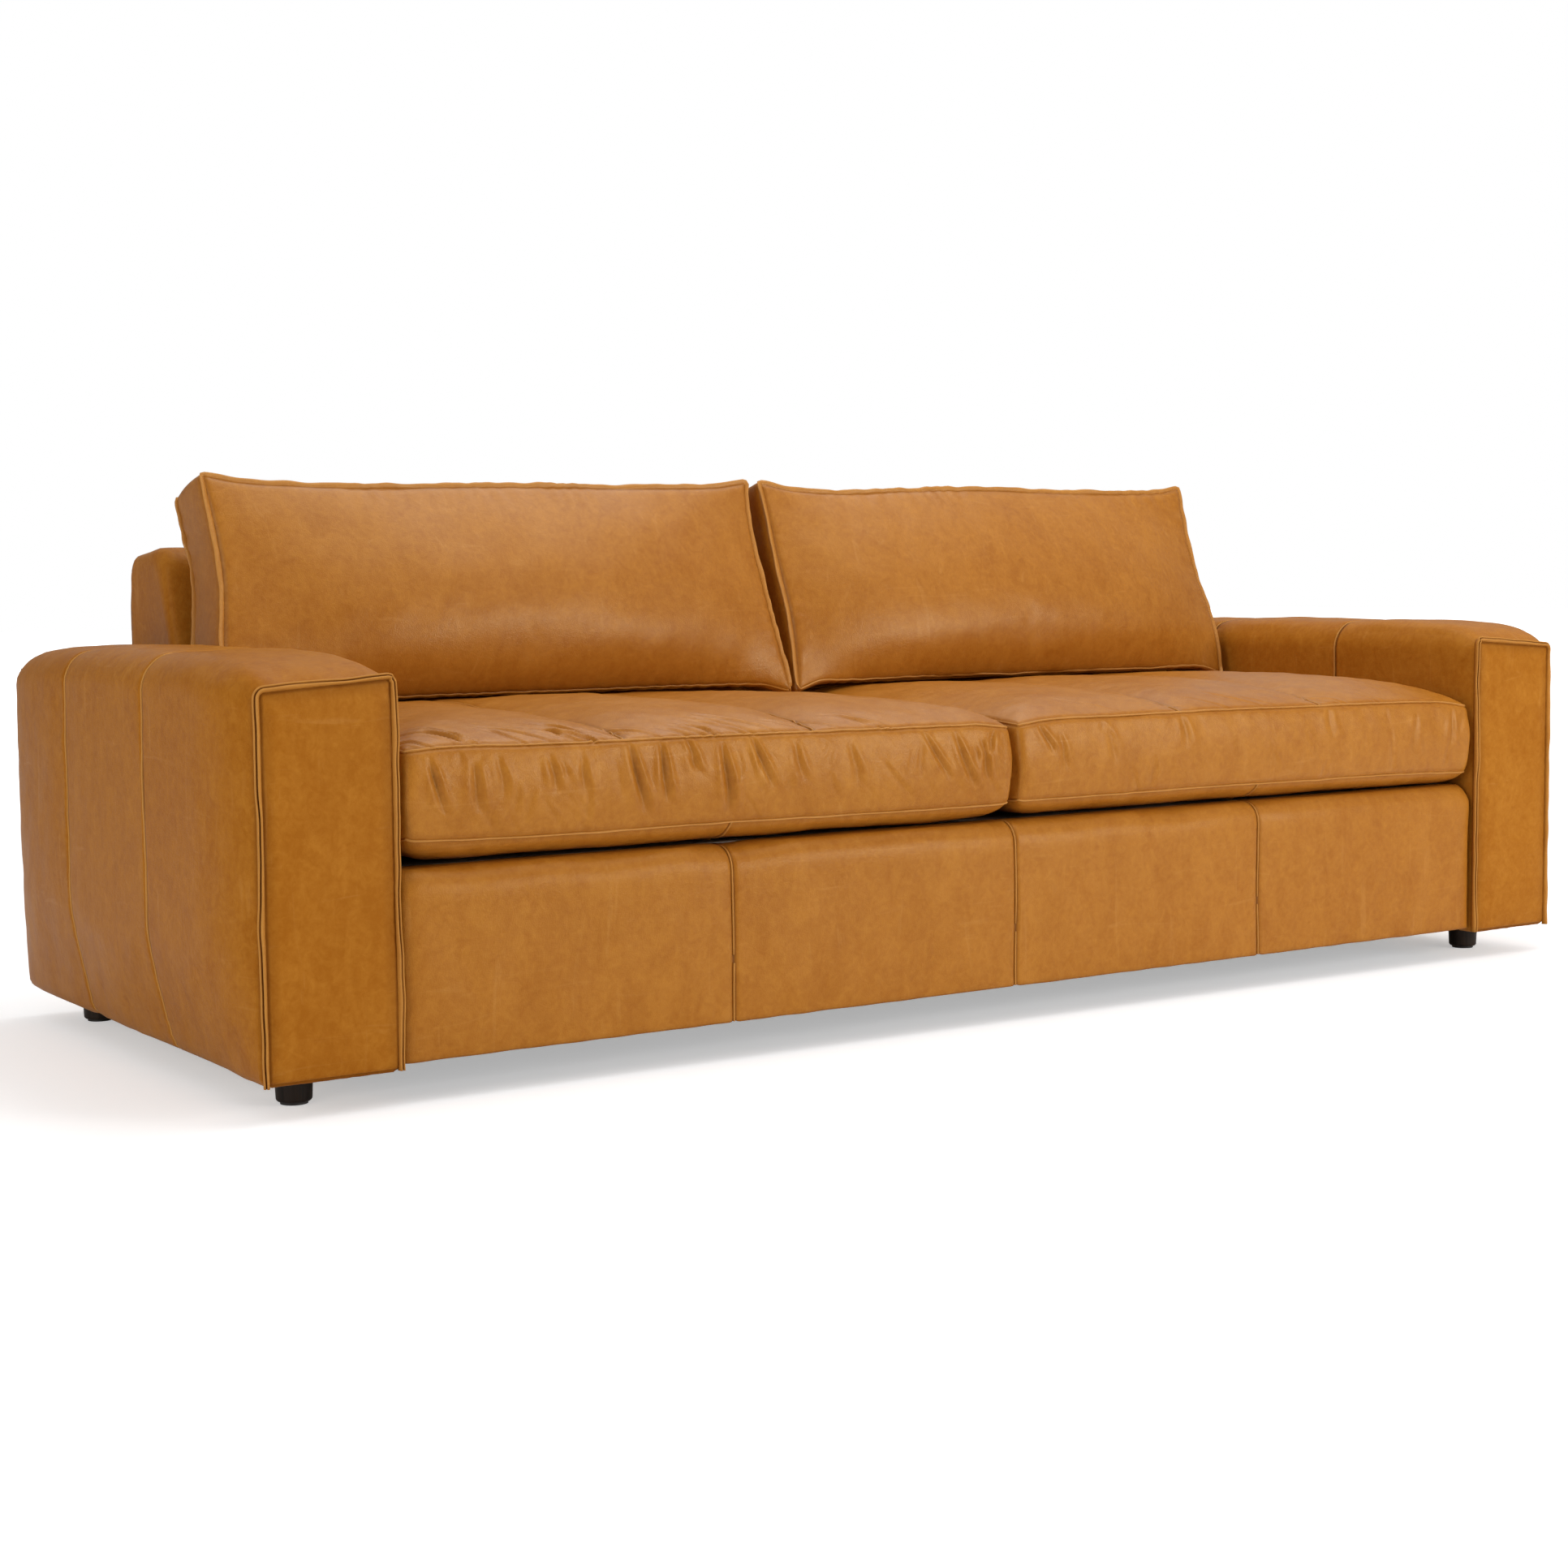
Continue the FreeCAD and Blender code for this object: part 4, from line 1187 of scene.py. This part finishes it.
def finishSeatCushion(piece, side, seams, underSeam, low, high, look):
    sign = sides[side]
    flat = readFlat(piece)
    refine(piece, (flat[:, 1] < low[1] + 0.115) & (flat[:, 2] > low[2] + tiny))
    flat = readFlat(piece)
    co = readPoints(piece)
    normals = readNormals(piece)
    middle, half = (low + high) / 2, (high - low) / 2
    fromEdge = np.minimum(half[0] - np.abs(flat[:, 0] - middle[0]),
                          half[1] - np.abs(flat[:, 1] - middle[1]))
    onTop = flat[:, 2] > high[2] - tiny
    onBottom = flat[:, 2] < low[2] + tiny
    fromPanelSeam = np.min([np.abs(flat[:, 0] - s) for s in seams], axis=0)
    fromRing = np.where(onTop | onBottom, fromEdge, np.minimum(high[2] - flat[:, 2], flat[:, 2] - low[2]))
    fromUnder = np.where(onBottom & (fromEdge < 0.06), np.abs(flat[:, 0] - underSeam), 1.0)
    fromSeam = np.minimum(fromRing, np.where(onTop, fromPanelSeam, 1.0))
    fromSeam = np.minimum(fromSeam, fromUnder)
    moved = -look["groove"] * bell(fromSeam, look["grooveWidth"])
    width = high[0] - low[0]
    onFrontFace = (flat[:, 1] < low[1] + tiny) & ~onTop & ~onBottom
    folds = [(low[0] + width * at, *rest) for at, *rest in look["frontFolds"][side]]
    count = look["smallFolds"][side]
    folds += scatterFolds(143 + sign, count, (low[0], high[0]), (0.0, 0.085), (0.015, 0.07),
                          (0.003, 0.0065), (-0.5, 1.0), (0.0003, 0.0014))
    foldsOnly = foldField(flat[:, 0], high[2] - flat[:, 2], folds) * onFrontFace
    depth = look["pleatDepth"][side]
    pleats = scatterFolds(147 + sign, look["pleats"][side], (low[0] + 0.02, low[0] + 0.8 * width),
                          (-0.012, 0.004), (0.035, 0.085), (0.0035, 0.006), (-1.6, -0.7),
                          (0.4 * depth, depth))
    foldsOnly += foldField(flat[:, 0], flat[:, 1] - low[1], pleats) * onTop
    atSides = scatterFolds(149 + sign, look["sideFolds"], (low[1], high[1]), (0.0, 0.05), (0.04, 0.08),
                           (0.009, 0.014), (-0.4, 0.4), (0.0010, 0.0028))
    onSides = ~onTop & ~onBottom & ~onFrontFace
    foldsOnly += foldField(flat[:, 1], high[2] - flat[:, 2], atSides) * onSides
    moved += foldsOnly
    moved += 0.0009 * ripple(flat, 0.13, 141 + sign) * rise(fromSeam, 0.02)
    moved += 0.0004 * ripple(flat, 0.045, 151 + sign)
    co = co + normals * moved[:, None]
    cadLow, cadHigh = (np.array(c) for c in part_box("seat_cushion_cover_" + side))
    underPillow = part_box("back_cushion_cover_" + side)[0]
    co[:, 0] = np.clip(co[:, 0], cadLow[0], cadHigh[0])
    co[:, 1] = np.minimum(co[:, 1], cadHigh[1])
    co[:, 2] = np.maximum(co[:, 2], cadLow[2])
    roof = cadHigh[2] + look["overCad"] * (1 - ease(co[:, 1], underPillow.y - 0.10, underPillow.y - 0.02))
    co[:, 2] = np.minimum(co[:, 2], roof)
    writePoints(piece, co)
    # painted shade at the seams, in the dips at the top's panel seams near the front, and in the fold
    # troughs
    panelDipShade = onTop * bell(fromPanelSeam, 0.0045) * (1 - ease(fromEdge, 0.03, 0.30))
    troughShade = np.clip(-foldsOnly / 0.004, 0, 1)
    writeValue(piece, "crease", 0.16 * bell(fromSeam, 0.0055) + 0.5 * panelDipShade + 0.22 * troughShade)
    panel = np.array(look["tones"])[np.digitize(flat[:, 0], seams)]
    writeValue(piece, "panel", np.where(onTop, panel * sign, 0.1))
    normals = readNormals(piece)
    ridges = []
    for number, level in enumerate((high[2], low[2])):
        chosen = (np.abs(flat[:, 2] - level) < tiny) & (fromEdge < tiny)
        order = inOrder(flat, chosen, (0, 1), 0.3)
        along = np.roll(co[order], -1, axis=0) - np.roll(co[order], 1, axis=0)
        along /= np.linalg.norm(along, axis=1)[:, None]
        away = normals[order]
        across = np.cross(along, away)
        ridges.append(seamEdge(f"ridge{number}", co[order], away, across, look, 161 + number, closed=True))
    lines = [(onTop & (np.abs(flat[:, 0] - s) < tiny)) for s in seams]
    lines.append(onBottom & (np.abs(flat[:, 0] - underSeam) < tiny) & (flat[:, 1] < low[1] + 0.2))
    for number, chosen in enumerate(lines):
        order = np.nonzero(chosen)[0]
        order = order[np.argsort(flat[order, 1])]
        across = np.tile([1.0, 0, 0], (len(order), 1))
        ridges.append(seamEdge(f"line{number}", co[order], normals[order], across, look, 165 + number))
    smoothShade(piece)
    dress(piece, seatLeather)
    for ridge in ridges:
        # painted highlight on the seam ridges
        writeValue(ridge, "lip", np.full(len(ridge.data.vertices), look["lip"]))
        dress(ridge, seatLeather)
    return piece, join(ridges, "seat_seams_" + side)


print("seat cushions")
for side in sides:
    cushion, seams = makeSeatCushion(side)
    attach(cushion, "seat_cushion_" + side)
    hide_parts("seat_cushion_cover_" + side, "seat_cushion_foam_" + side)
    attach(seams, "seat_cushion_" + side)


pillowShape = {
    "grid": 0.0115, "origin": 0.094,
    "frontFoot": {"left": 0.040, "right": 0.016}, "frontHead": 0.118,
    "rearFoot": 0.118, "rearHead": 0.226, "rearDrop": 0.036, "belly": 0.37,
    "cornerDrop": 0.014, "inset": 0.009, "depth": 0.118, "frontBulge": 0.074, "rearBulge": 0.034,
    "topSag": 0.006, "sideSag": 0.0035,
    "flare": 0.008, "topBulge": 0.004, "innerFoot": {"left": 0.019, "right": 0.003}, "outerFoot": 0.015,
    "frames": 22, "pressure": 3.5, "cap": 0.026,
    "groove": 0.0035, "grooveWidth": 0.006, "flangeWidth": 0.0088, "flangeThick": 0.0036,
    "flangeWave": 0.0013, "flangeFacing": (0.94, 0.33), "flangeTurn": 0.28, "gatherStep": 0.030,
    "gather": 0.0008,
}


def makePillow(side, look=pillowShape):
    # u across, v up, w from the front flange to the rear one
    sign = sides[side]
    cadLow, cadHigh = (np.array(c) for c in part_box("back_cushion_cover_" + side))
    inset = look["inset"]
    wide, tall = cadHigh[0] - cadLow[0] - 2 * inset, cadHigh[2] - cadLow[2]
    deep = look["depth"]
    centre = (cadLow[0] + cadHigh[0]) / 2
    low = np.array([centre - wide / 2, 0.0, 0.0])
    high = np.array([centre + wide / 2, deep, tall])
    cuts = [spread(low[0], high[0], look["grid"]), spread(low[1], high[1], look["grid"]),
            spread(low[2], high[2], look["grid"])]
    piece = griddedBox("back_cushion_" + side, low, high, cuts)
    flat = readFlat(piece)
    u = (flat[:, 0] - centre) / (wide / 2)
    w = flat[:, 1] / deep
    v = flat[:, 2] / tall
    onFront, onRear = w < 1e-4, w > 1 - 1e-4
    # the flanged edges pull in between the corners, which flare a little
    pullSide = look["sideSag"] * np.sin(np.clip(v, 0, 1) * math.pi) ** 0.8
    pullSide = pullSide + 0.0022 * np.sin(v * 8.5 + 2.0 * u + sign) * np.abs(u) ** 6
    pullTop = look["topSag"] * (1 - np.abs(u) ** 2.4)
    flare = look["flare"] * bell(1 - np.abs(u), 0.07) * bell(1 - v, 0.12)
    spreadFoot = np.where(u * sign < 0, look["innerFoot"][side] * bell(v, 0.28),
                          look["outerFoot"] * bell(v - 0.22, 0.30))
    a = u * (wide / 2 - pullSide + flare * 0.5 + spreadFoot)
    wave = {"left": -0.004 * bell(u + 0.55, 0.3) + 0.002 * bell(u - 0.1, 0.3),
            "right": -0.006 * bell(u + 0.68, 0.20) + 0.006 * bell(u, 0.40)}[side]
    top = tall - inset - pullTop + flare + wave
    height = v * top
    edgeU, edgeV = 1 - np.abs(u), np.minimum(v, 1 - v)
    cover = (1 - np.abs(u) ** 3.2) * (1 - np.abs(2 * v - 1) ** 2.8)
    belly = look["belly"]
    rolled = 1 - (1 - np.clip(v / belly, 0, 1)) ** 2.2
    rolled = rolled * (1 - np.clip((v - belly) / (1 - belly), 0, 1) ** 2)
    foot = look["frontFoot"][side] * (1 - np.abs(u) ** 7)
    yFront = foot + (look["frontHead"] - foot) * v
    yRear = look["rearFoot"] + (look["rearHead"] - look["rearFoot"]) * v
    yFront = yFront - look["frontBulge"] * rolled * (1 - np.abs(u) ** 3.2)
    yRear = yRear + look["rearBulge"] * cover
    y = look["origin"] + yFront * (1 - w) + yRear * w
    drop = look["rearDrop"] * w * v
    puff = look["topBulge"] * np.sin(np.clip(w, 0, 1) * math.pi)
    z = cadLow[2] + 0.0015 + height - drop + puff * (v > 1 - tiny)
    z = z - look["cornerDrop"] * bell(1 - np.abs(u), 0.07) * np.clip(1 - v / 0.3, 0, 1) ** 1.5
    x = centre + a + puff * np.sign(u) * (np.abs(u) > 1 - tiny)
    co = np.stack([x, y, z], axis=1)
    writePoints(piece, co)
    onSide = np.abs(u) > 1 - tiny
    onHead = v > 1 - tiny
    onFoot = v < tiny
    ring = (onFront | onRear) & (onSide | onHead | onFoot)
    pins = np.where(ring, 1.0, 0.0)
    pins = np.where(onFoot & (w > 0.12) & (w < 0.9), 1.0, pins)
    nearRim = bell(np.minimum(edgeU * wide / 2, edgeV * 2 * tall / 2), 0.05)
    growth = np.where(onFront, 0.22 + 0.45 * nearRim, 0.30)
    growth = np.where(onSide | onHead, 0.50, growth)
    growth = np.where(onFoot, 0.1, growth)
    growth = np.clip(growth + 0.15 * ripple(flat, 0.15, 171 + sign), 0, 1)
    pressed(piece, pins, growth, look)
    subdivideSmooth(piece)
    return finishPillow(piece, side, (centre, wide, deep, tall), look)


def finishPillow(piece, side, size, look):
    sign = sides[side]
    centre, wide, deep, tall = size
    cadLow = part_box("back_cushion_cover_" + side)[0]
    flat = readFlat(piece)
    co = readPoints(piece)
    normals = readNormals(piece)
    u = (flat[:, 0] - centre) / (wide / 2)
    w, v = flat[:, 1] / deep, flat[:, 2] / tall
    onFront, onRear = w < 1e-4, w > 1 - 1e-4
    onFace = onFront | onRear
    fromSide = (1 - np.abs(u)) * wide / 2
    fromEnds = np.minimum(v, 1 - v) * tall
    fromRim = np.where(onFace, np.minimum(fromSide, fromEnds), np.minimum(w, 1 - w) * deep)
    moved = -look["groove"] * bell(fromRim, look["grooveWidth"])
    moved += 0.0013 * ripple(flat, 0.19, 181 + sign) * rise(fromRim, 0.03)
    moved += 0.0004 * ripple(flat, 0.05, 191 + sign)
    # short gathers that run away from the flange
    around = np.where(onFace, np.where(fromSide < fromEnds, flat[:, 2], flat[:, 0]),
                      flat[:, 0] + flat[:, 2])
    gather = np.sin(around * fullTurn / look["gatherStep"] + 2.4 * ripple(flat, 0.09, 195 + sign))
    patchy = np.clip(0.3 + 0.6 * ripple(flat, 0.16, 197 + sign), 0, 1)
    moved += look["gather"] * gather * patchy * bell(fromRim - 0.012, 0.020)
    co = co + normals * moved[:, None]
    lowest = cadLow[2] - look["cornerDrop"] * bell(1 - np.abs(u), 0.07)
    co[:, 2] = np.maximum(co[:, 2], lowest)
    writePoints(piece, co)
    # painted shade in the groove beside the flanges
    writeValue(piece, "crease", 0.6 * bell(fromRim, 0.0055))
    writeValue(piece, "panel", np.where(onFront, 0.1 * sign, -0.3))
    normals = readNormals(piece)
    strips = []
    for number, chosen in enumerate((onFront, onRear)):
        rim = chosen & ((np.abs(u) > 1 - tiny) | (v > 1 - tiny) | (v < tiny))
        order = inOrder(flat, rim, (0, 2), -0.5 * math.pi)
        path = co[order]
        along = np.roll(path, -1, axis=0) - np.roll(path, 1, axis=0)
        along /= np.linalg.norm(along, axis=1)[:, None]
        facing = np.array([0, -look["flangeFacing"][0], look["flangeFacing"][1]]) * (1 - 2 * number)
        outward = np.cross(facing, along) if number == 0 else np.cross(along, facing)
        middle = path.mean(axis=0)
        turned = np.sign(np.sum(outward * (path - middle), axis=1))[:, None]
        outward = outward * turned
        footed = bell(v[order], 0.03)[:, None]
        tuck = np.array([0, 1.0, 0]) if (side == "left" and number == 0) else facing
        outward = outward * (1 - footed) + tuck * footed
        outward = outward + look["flangeTurn"] * facing * (1 - footed)
        outward /= np.linalg.norm(outward, axis=1)[:, None]
        across = np.cross(along, outward)
        strips.append(sweptStrip(f"flange{number}", path - outward * 0.001, outward, across,
                                 look["flangeWidth"], look["flangeThick"], closed=True,
                                 wave=look["flangeWave"], seed=201 + number + sign))
    smoothShade(piece)
    dress(piece, pillowLeather)
    for strip in strips:
        dress(strip, pillowLeather)
    return piece, join(strips, "back_flange_" + side)


print("back cushions")
for side in sides:
    pillow, flange = makePillow(side)
    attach(pillow, "back_cushion_" + side)
    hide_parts("back_cushion_cover_" + side, "back_cushion_fill_" + side)
    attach(flange, "back_cushion_" + side)


# cloths under the seat
def flatSheet(name, low, high, paintedShade, cuts):
    # a gridded plane over the whole box, a little under its top
    clearSelection()
    middle = (low + high) / 2
    bpy.ops.mesh.primitive_plane_add(size=1, location=(middle.x, middle.y, high.z - paintedShade))
    piece = bpy.context.object
    piece.name = name
    piece.data.name = name
    piece.scale = (high.x - low.x, high.y - low.y, 1)
    bpy.ops.object.transform_apply(location=True, rotation=False, scale=True)
    bpy.ops.object.mode_set(mode="EDIT")
    bpy.ops.mesh.subdivide(number_cuts=cuts)
    bpy.ops.object.mode_set(mode="OBJECT")
    return piece


def makeDeckCloth():
    low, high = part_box("deck_cloth")
    piece = flatSheet("deck_sheet", low, high, 0.0003, 90)
    co = readPoints(piece)
    # it lies on the felt and keeps just above it everywhere
    edge = fromBorder(co[:, 0], co[:, 1], low, high)
    floor = low.z + 0.0008
    waves = 0.4 + 0.4 * np.clip(ripple(co, 0.16, 211), -1, 1)
    co[:, 2] = floor + (high.z - floor) * waves * rise(edge, 0.05)
    writePoints(piece, co)
    thicken(piece, 0.0006)
    smoothShade(piece)
    dress(piece, deckWeave)
    return piece, (high.x - low.x, high.y - low.y)


def makeDustCover():
    low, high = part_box("dust_cover")
    piece = flatSheet("dust_sheet", low, high, 0.0004, 100)
    # a round hole's worth of cloth is pushed aside for the middle leg
    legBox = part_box("leg_centre")
    legRadius = (legBox[1].x - legBox[0].x) / 2
    hole = legRadius + 0.004
    co = readPoints(piece)
    away = np.hypot(co[:, 0], co[:, 1])
    near = (away < hole + 0.014) & (away > 1e-6)
    push = np.where(near & (away < hole), hole / np.maximum(away, 1e-6), 1.0)
    co[:, 0] *= push
    co[:, 1] *= push
    edge = fromBorder(co[:, 0], co[:, 1], low, high)
    sag = 0.0035 * np.sin(np.clip((co[:, 0] - low.x) / (high.x - low.x), 0, 1) * fullTurn) ** 2
    co[:, 2] -= sag * rise(edge, 0.10)
    co[:, 2] += 0.0004 * np.sin(co[:, 0] * fullTurn / 0.05) * bell(edge, 0.05)
    writePoints(piece, co)
    thicken(piece, 0.0006)
    smoothShade(piece)
    dress(piece, dustWeave)
    return piece, (high.x - low.x, high.y - low.y)


print("cloths")
deckWeave = makeWeave("deckWeave", (0.075, 0.045, 0.026), (0.17, 0.11, 0.07), 420.0, 0.88)
dustWeave = makeWeave("dustWeave", (0.012, 0.012, 0.013), (0.035, 0.035, 0.038), 700.0, 0.92)
deckSheet, deckSize = makeDeckCloth()
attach(deckSheet, "sofa_frame")
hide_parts("deck_cloth")
dustSheet, dustSize = makeDustCover()
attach(dustSheet, "sofa_frame")
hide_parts("dust_cover")


# frame, springs, legs
print("frame parts")
legWood = makeWood("legWood", (0.010, 0.0065, 0.0045), (0.042, 0.027, 0.018), 2, 0.30)
frameWoods = [makeWood("frameWoodX", (0.36, 0.22, 0.11), (0.62, 0.44, 0.26), 0, 0.62),
              makeWood("frameWoodY", (0.36, 0.22, 0.11), (0.62, 0.44, 0.26), 1, 0.62, (0, 0, 3.0)),
              makeWood("frameWoodZ", (0.36, 0.22, 0.11), (0.62, 0.44, 0.26), 2, 0.62, (0, 4.0, 0))]
fibreBoard = makeBoard("fibreBoard", (0.20, 0.12, 0.065), (0.36, 0.24, 0.14))
springSteel = makeSteel("springSteel", (0.16, 0.165, 0.18), (0.36, 0.37, 0.39), 0.34)
boltSteel = makeSteel("boltSteel", (0.48, 0.48, 0.50), (0.72, 0.72, 0.74), 0.24)
padFelt = makeFoam("padFelt", (0.25, 0.24, 0.22), (0.48, 0.46, 0.43))
beltWeave = makeWeave("beltWeave", (0.30, 0.25, 0.17), (0.60, 0.54, 0.42), 260.0, 0.85)
glideNylon = makeNylon("glideNylon", (0.020, 0.018, 0.016), (0.055, 0.050, 0.045))

for name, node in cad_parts.items():
    low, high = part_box(name)
    size = high - low
    longest = max(range(3), key=lambda a: size[a])
    if name.startswith("leg_") and not name.endswith(("bolts", "nuts", "glides")):
        dress(node, legWood)
    elif name == "leg_glides":
        dress(node, glideNylon)
    elif "bolts" in name or "nuts" in name:
        dress(node, boltSteel)
    elif "spring" in name:
        dress(node, springSteel)
    elif name == "back_webbing":
        dress(node, beltWeave)
    elif "panel" in name and "front" not in name:
        dress(node, fibreBoard)
    elif name == "deck_pad":
        dress(node, padFelt)
    elif any(word in name for word in ("rail", "board", "post", "blocks")) and "cover" not in name:
        dress(node, frameWoods[longest])


# studio
studio = {
    "floorTone": (0.90, 0.90, 0.90), "worldTone": (1.0, 1.0, 1.0), "worldStrength": 0.26,
    "floorGlow": 0.40, "glowStart": 2.6, "glowEnd": 6.0,
    "cameraPlace": (-2.3501, -3.3668, 0.6721), "heading": 33.846, "pitch": -4.785,
    "roll": -0.566, "lens": 57.40,
    "skyPower": 0.8, "skyWidth": 120, "skyLean": (-12, 8),
}


def makeFloor():
    clearSelection()
    bpy.ops.mesh.primitive_plane_add(size=60, location=(0, 0, 0))
    floor = bpy.context.object
    floor.name = "studio_floor"
    finish = Finish("studioFloor")
    cloud = finish.noise(finish.place(), 3.0, 2.0)
    colour = finish.mix(cloud, studio["floorTone"], tuple(c * 0.99 for c in studio["floorTone"]))
    # the paper brightens away from the sofa, so that it has no horizon
    away = finish.node("VectorMath", {"operation": "LENGTH"}, {0: finish.place()}, "Value")
    far = finish.node("MapRange", {"interpolation_type": "SMOOTHSTEP"},
                      {"Value": away, "From Min": studio["glowStart"], "From Max": studio["glowEnd"],
                       "To Min": studio["floorGlow"], "To Max": 1.0})
    seen = finish.node("LightPath", out="Is Camera Ray")
    glow = finish.mix(far * seen, (0, 0, 0), (1, 1, 1))
    dress(floor, finish.done(**{"Base Color": colour, "Roughness": 0.7, "Specular IOR Level": 0.2,
                                "Emission Color": glow, "Emission Strength": 1.0}))


def makeWorld():
    # white to look at, and a dimmer fill for the light that it gives
    world = bpy.data.worlds.new("studio")
    bpy.context.scene.world = world
    world.use_nodes = True
    tree = world.node_tree
    background = tree.nodes["Background"]
    background.inputs["Color"].default_value = (*studio["worldTone"], 1)
    seen = Flow(tree, tree.nodes.new("ShaderNodeLightPath").outputs["Is Camera Ray"])
    strength = studio["worldStrength"] + seen * (1.0 - studio["worldStrength"])
    tree.links.new(strength.socket, background.inputs["Strength"])


def makeLight(name, place, toward, size, power):
    data = bpy.data.lights.new(name, "AREA")
    data.shape = "RECTANGLE"
    data.size, data.size_y = size
    data.energy = power
    lamp = bpy.data.objects.new(name, data)
    bpy.context.scene.collection.objects.link(lamp)
    lamp.location = place
    lamp.rotation_mode = "QUATERNION"
    lamp.rotation_quaternion = (Vector(toward) - Vector(place)).to_track_quat("-Z", "Y")


def makeSky():
    # one very soft light from above for the whole floor
    data = bpy.data.lights.new("sky", "SUN")
    data.energy = studio["skyPower"]
    data.angle = math.radians(studio["skyWidth"])
    lamp = bpy.data.objects.new("sky", data)
    bpy.context.scene.collection.objects.link(lamp)
    lamp.rotation_euler = (*(math.radians(lean) for lean in studio["skyLean"]), 0)


def makeCamera():
    data = bpy.data.cameras.new("camera")
    camera = bpy.data.objects.new("camera", data)
    bpy.context.scene.collection.objects.link(camera)
    heading, pitch, roll = (math.radians(studio[k]) for k in ("heading", "pitch", "roll"))
    right = Vector((math.cos(heading), -math.sin(heading), 0))
    level = math.cos(pitch)
    ahead = Vector((math.sin(heading) * level, math.cos(heading) * level, math.sin(pitch)))
    up = right.cross(ahead)
    x = right * math.cos(roll) + up * math.sin(roll)
    y = up * math.cos(roll) - right * math.sin(roll)
    camera.location = studio["cameraPlace"]
    camera.rotation_mode = "QUATERNION"
    camera.rotation_quaternion = Matrix((x, y, -ahead)).transposed().to_quaternion()
    data.sensor_width = 36
    data.lens = studio["lens"]
    data.clip_end = 100
    data.dof.use_dof = False
    bpy.context.scene.camera = camera


print("studio")
makeFloor()
makeWorld()
makeLight("topSoft", (0.6, -0.15, 3.2), (0.1, -0.1, 0.3), (4.0, 2.2), 60)
makeLight("frontRight", (2.3, -4.3, 1.4), (0.2, 0, 0.4), (1.5, 1.2), 98)
makeLight("leftFill", (-4.6, -1.8, 1.6), (-0.6, 0, 0.4), (2.0, 1.6), 54)
makeSky()
makeCamera()
bpy.context.scene.view_settings.view_transform = "Standard"

clearSelection()
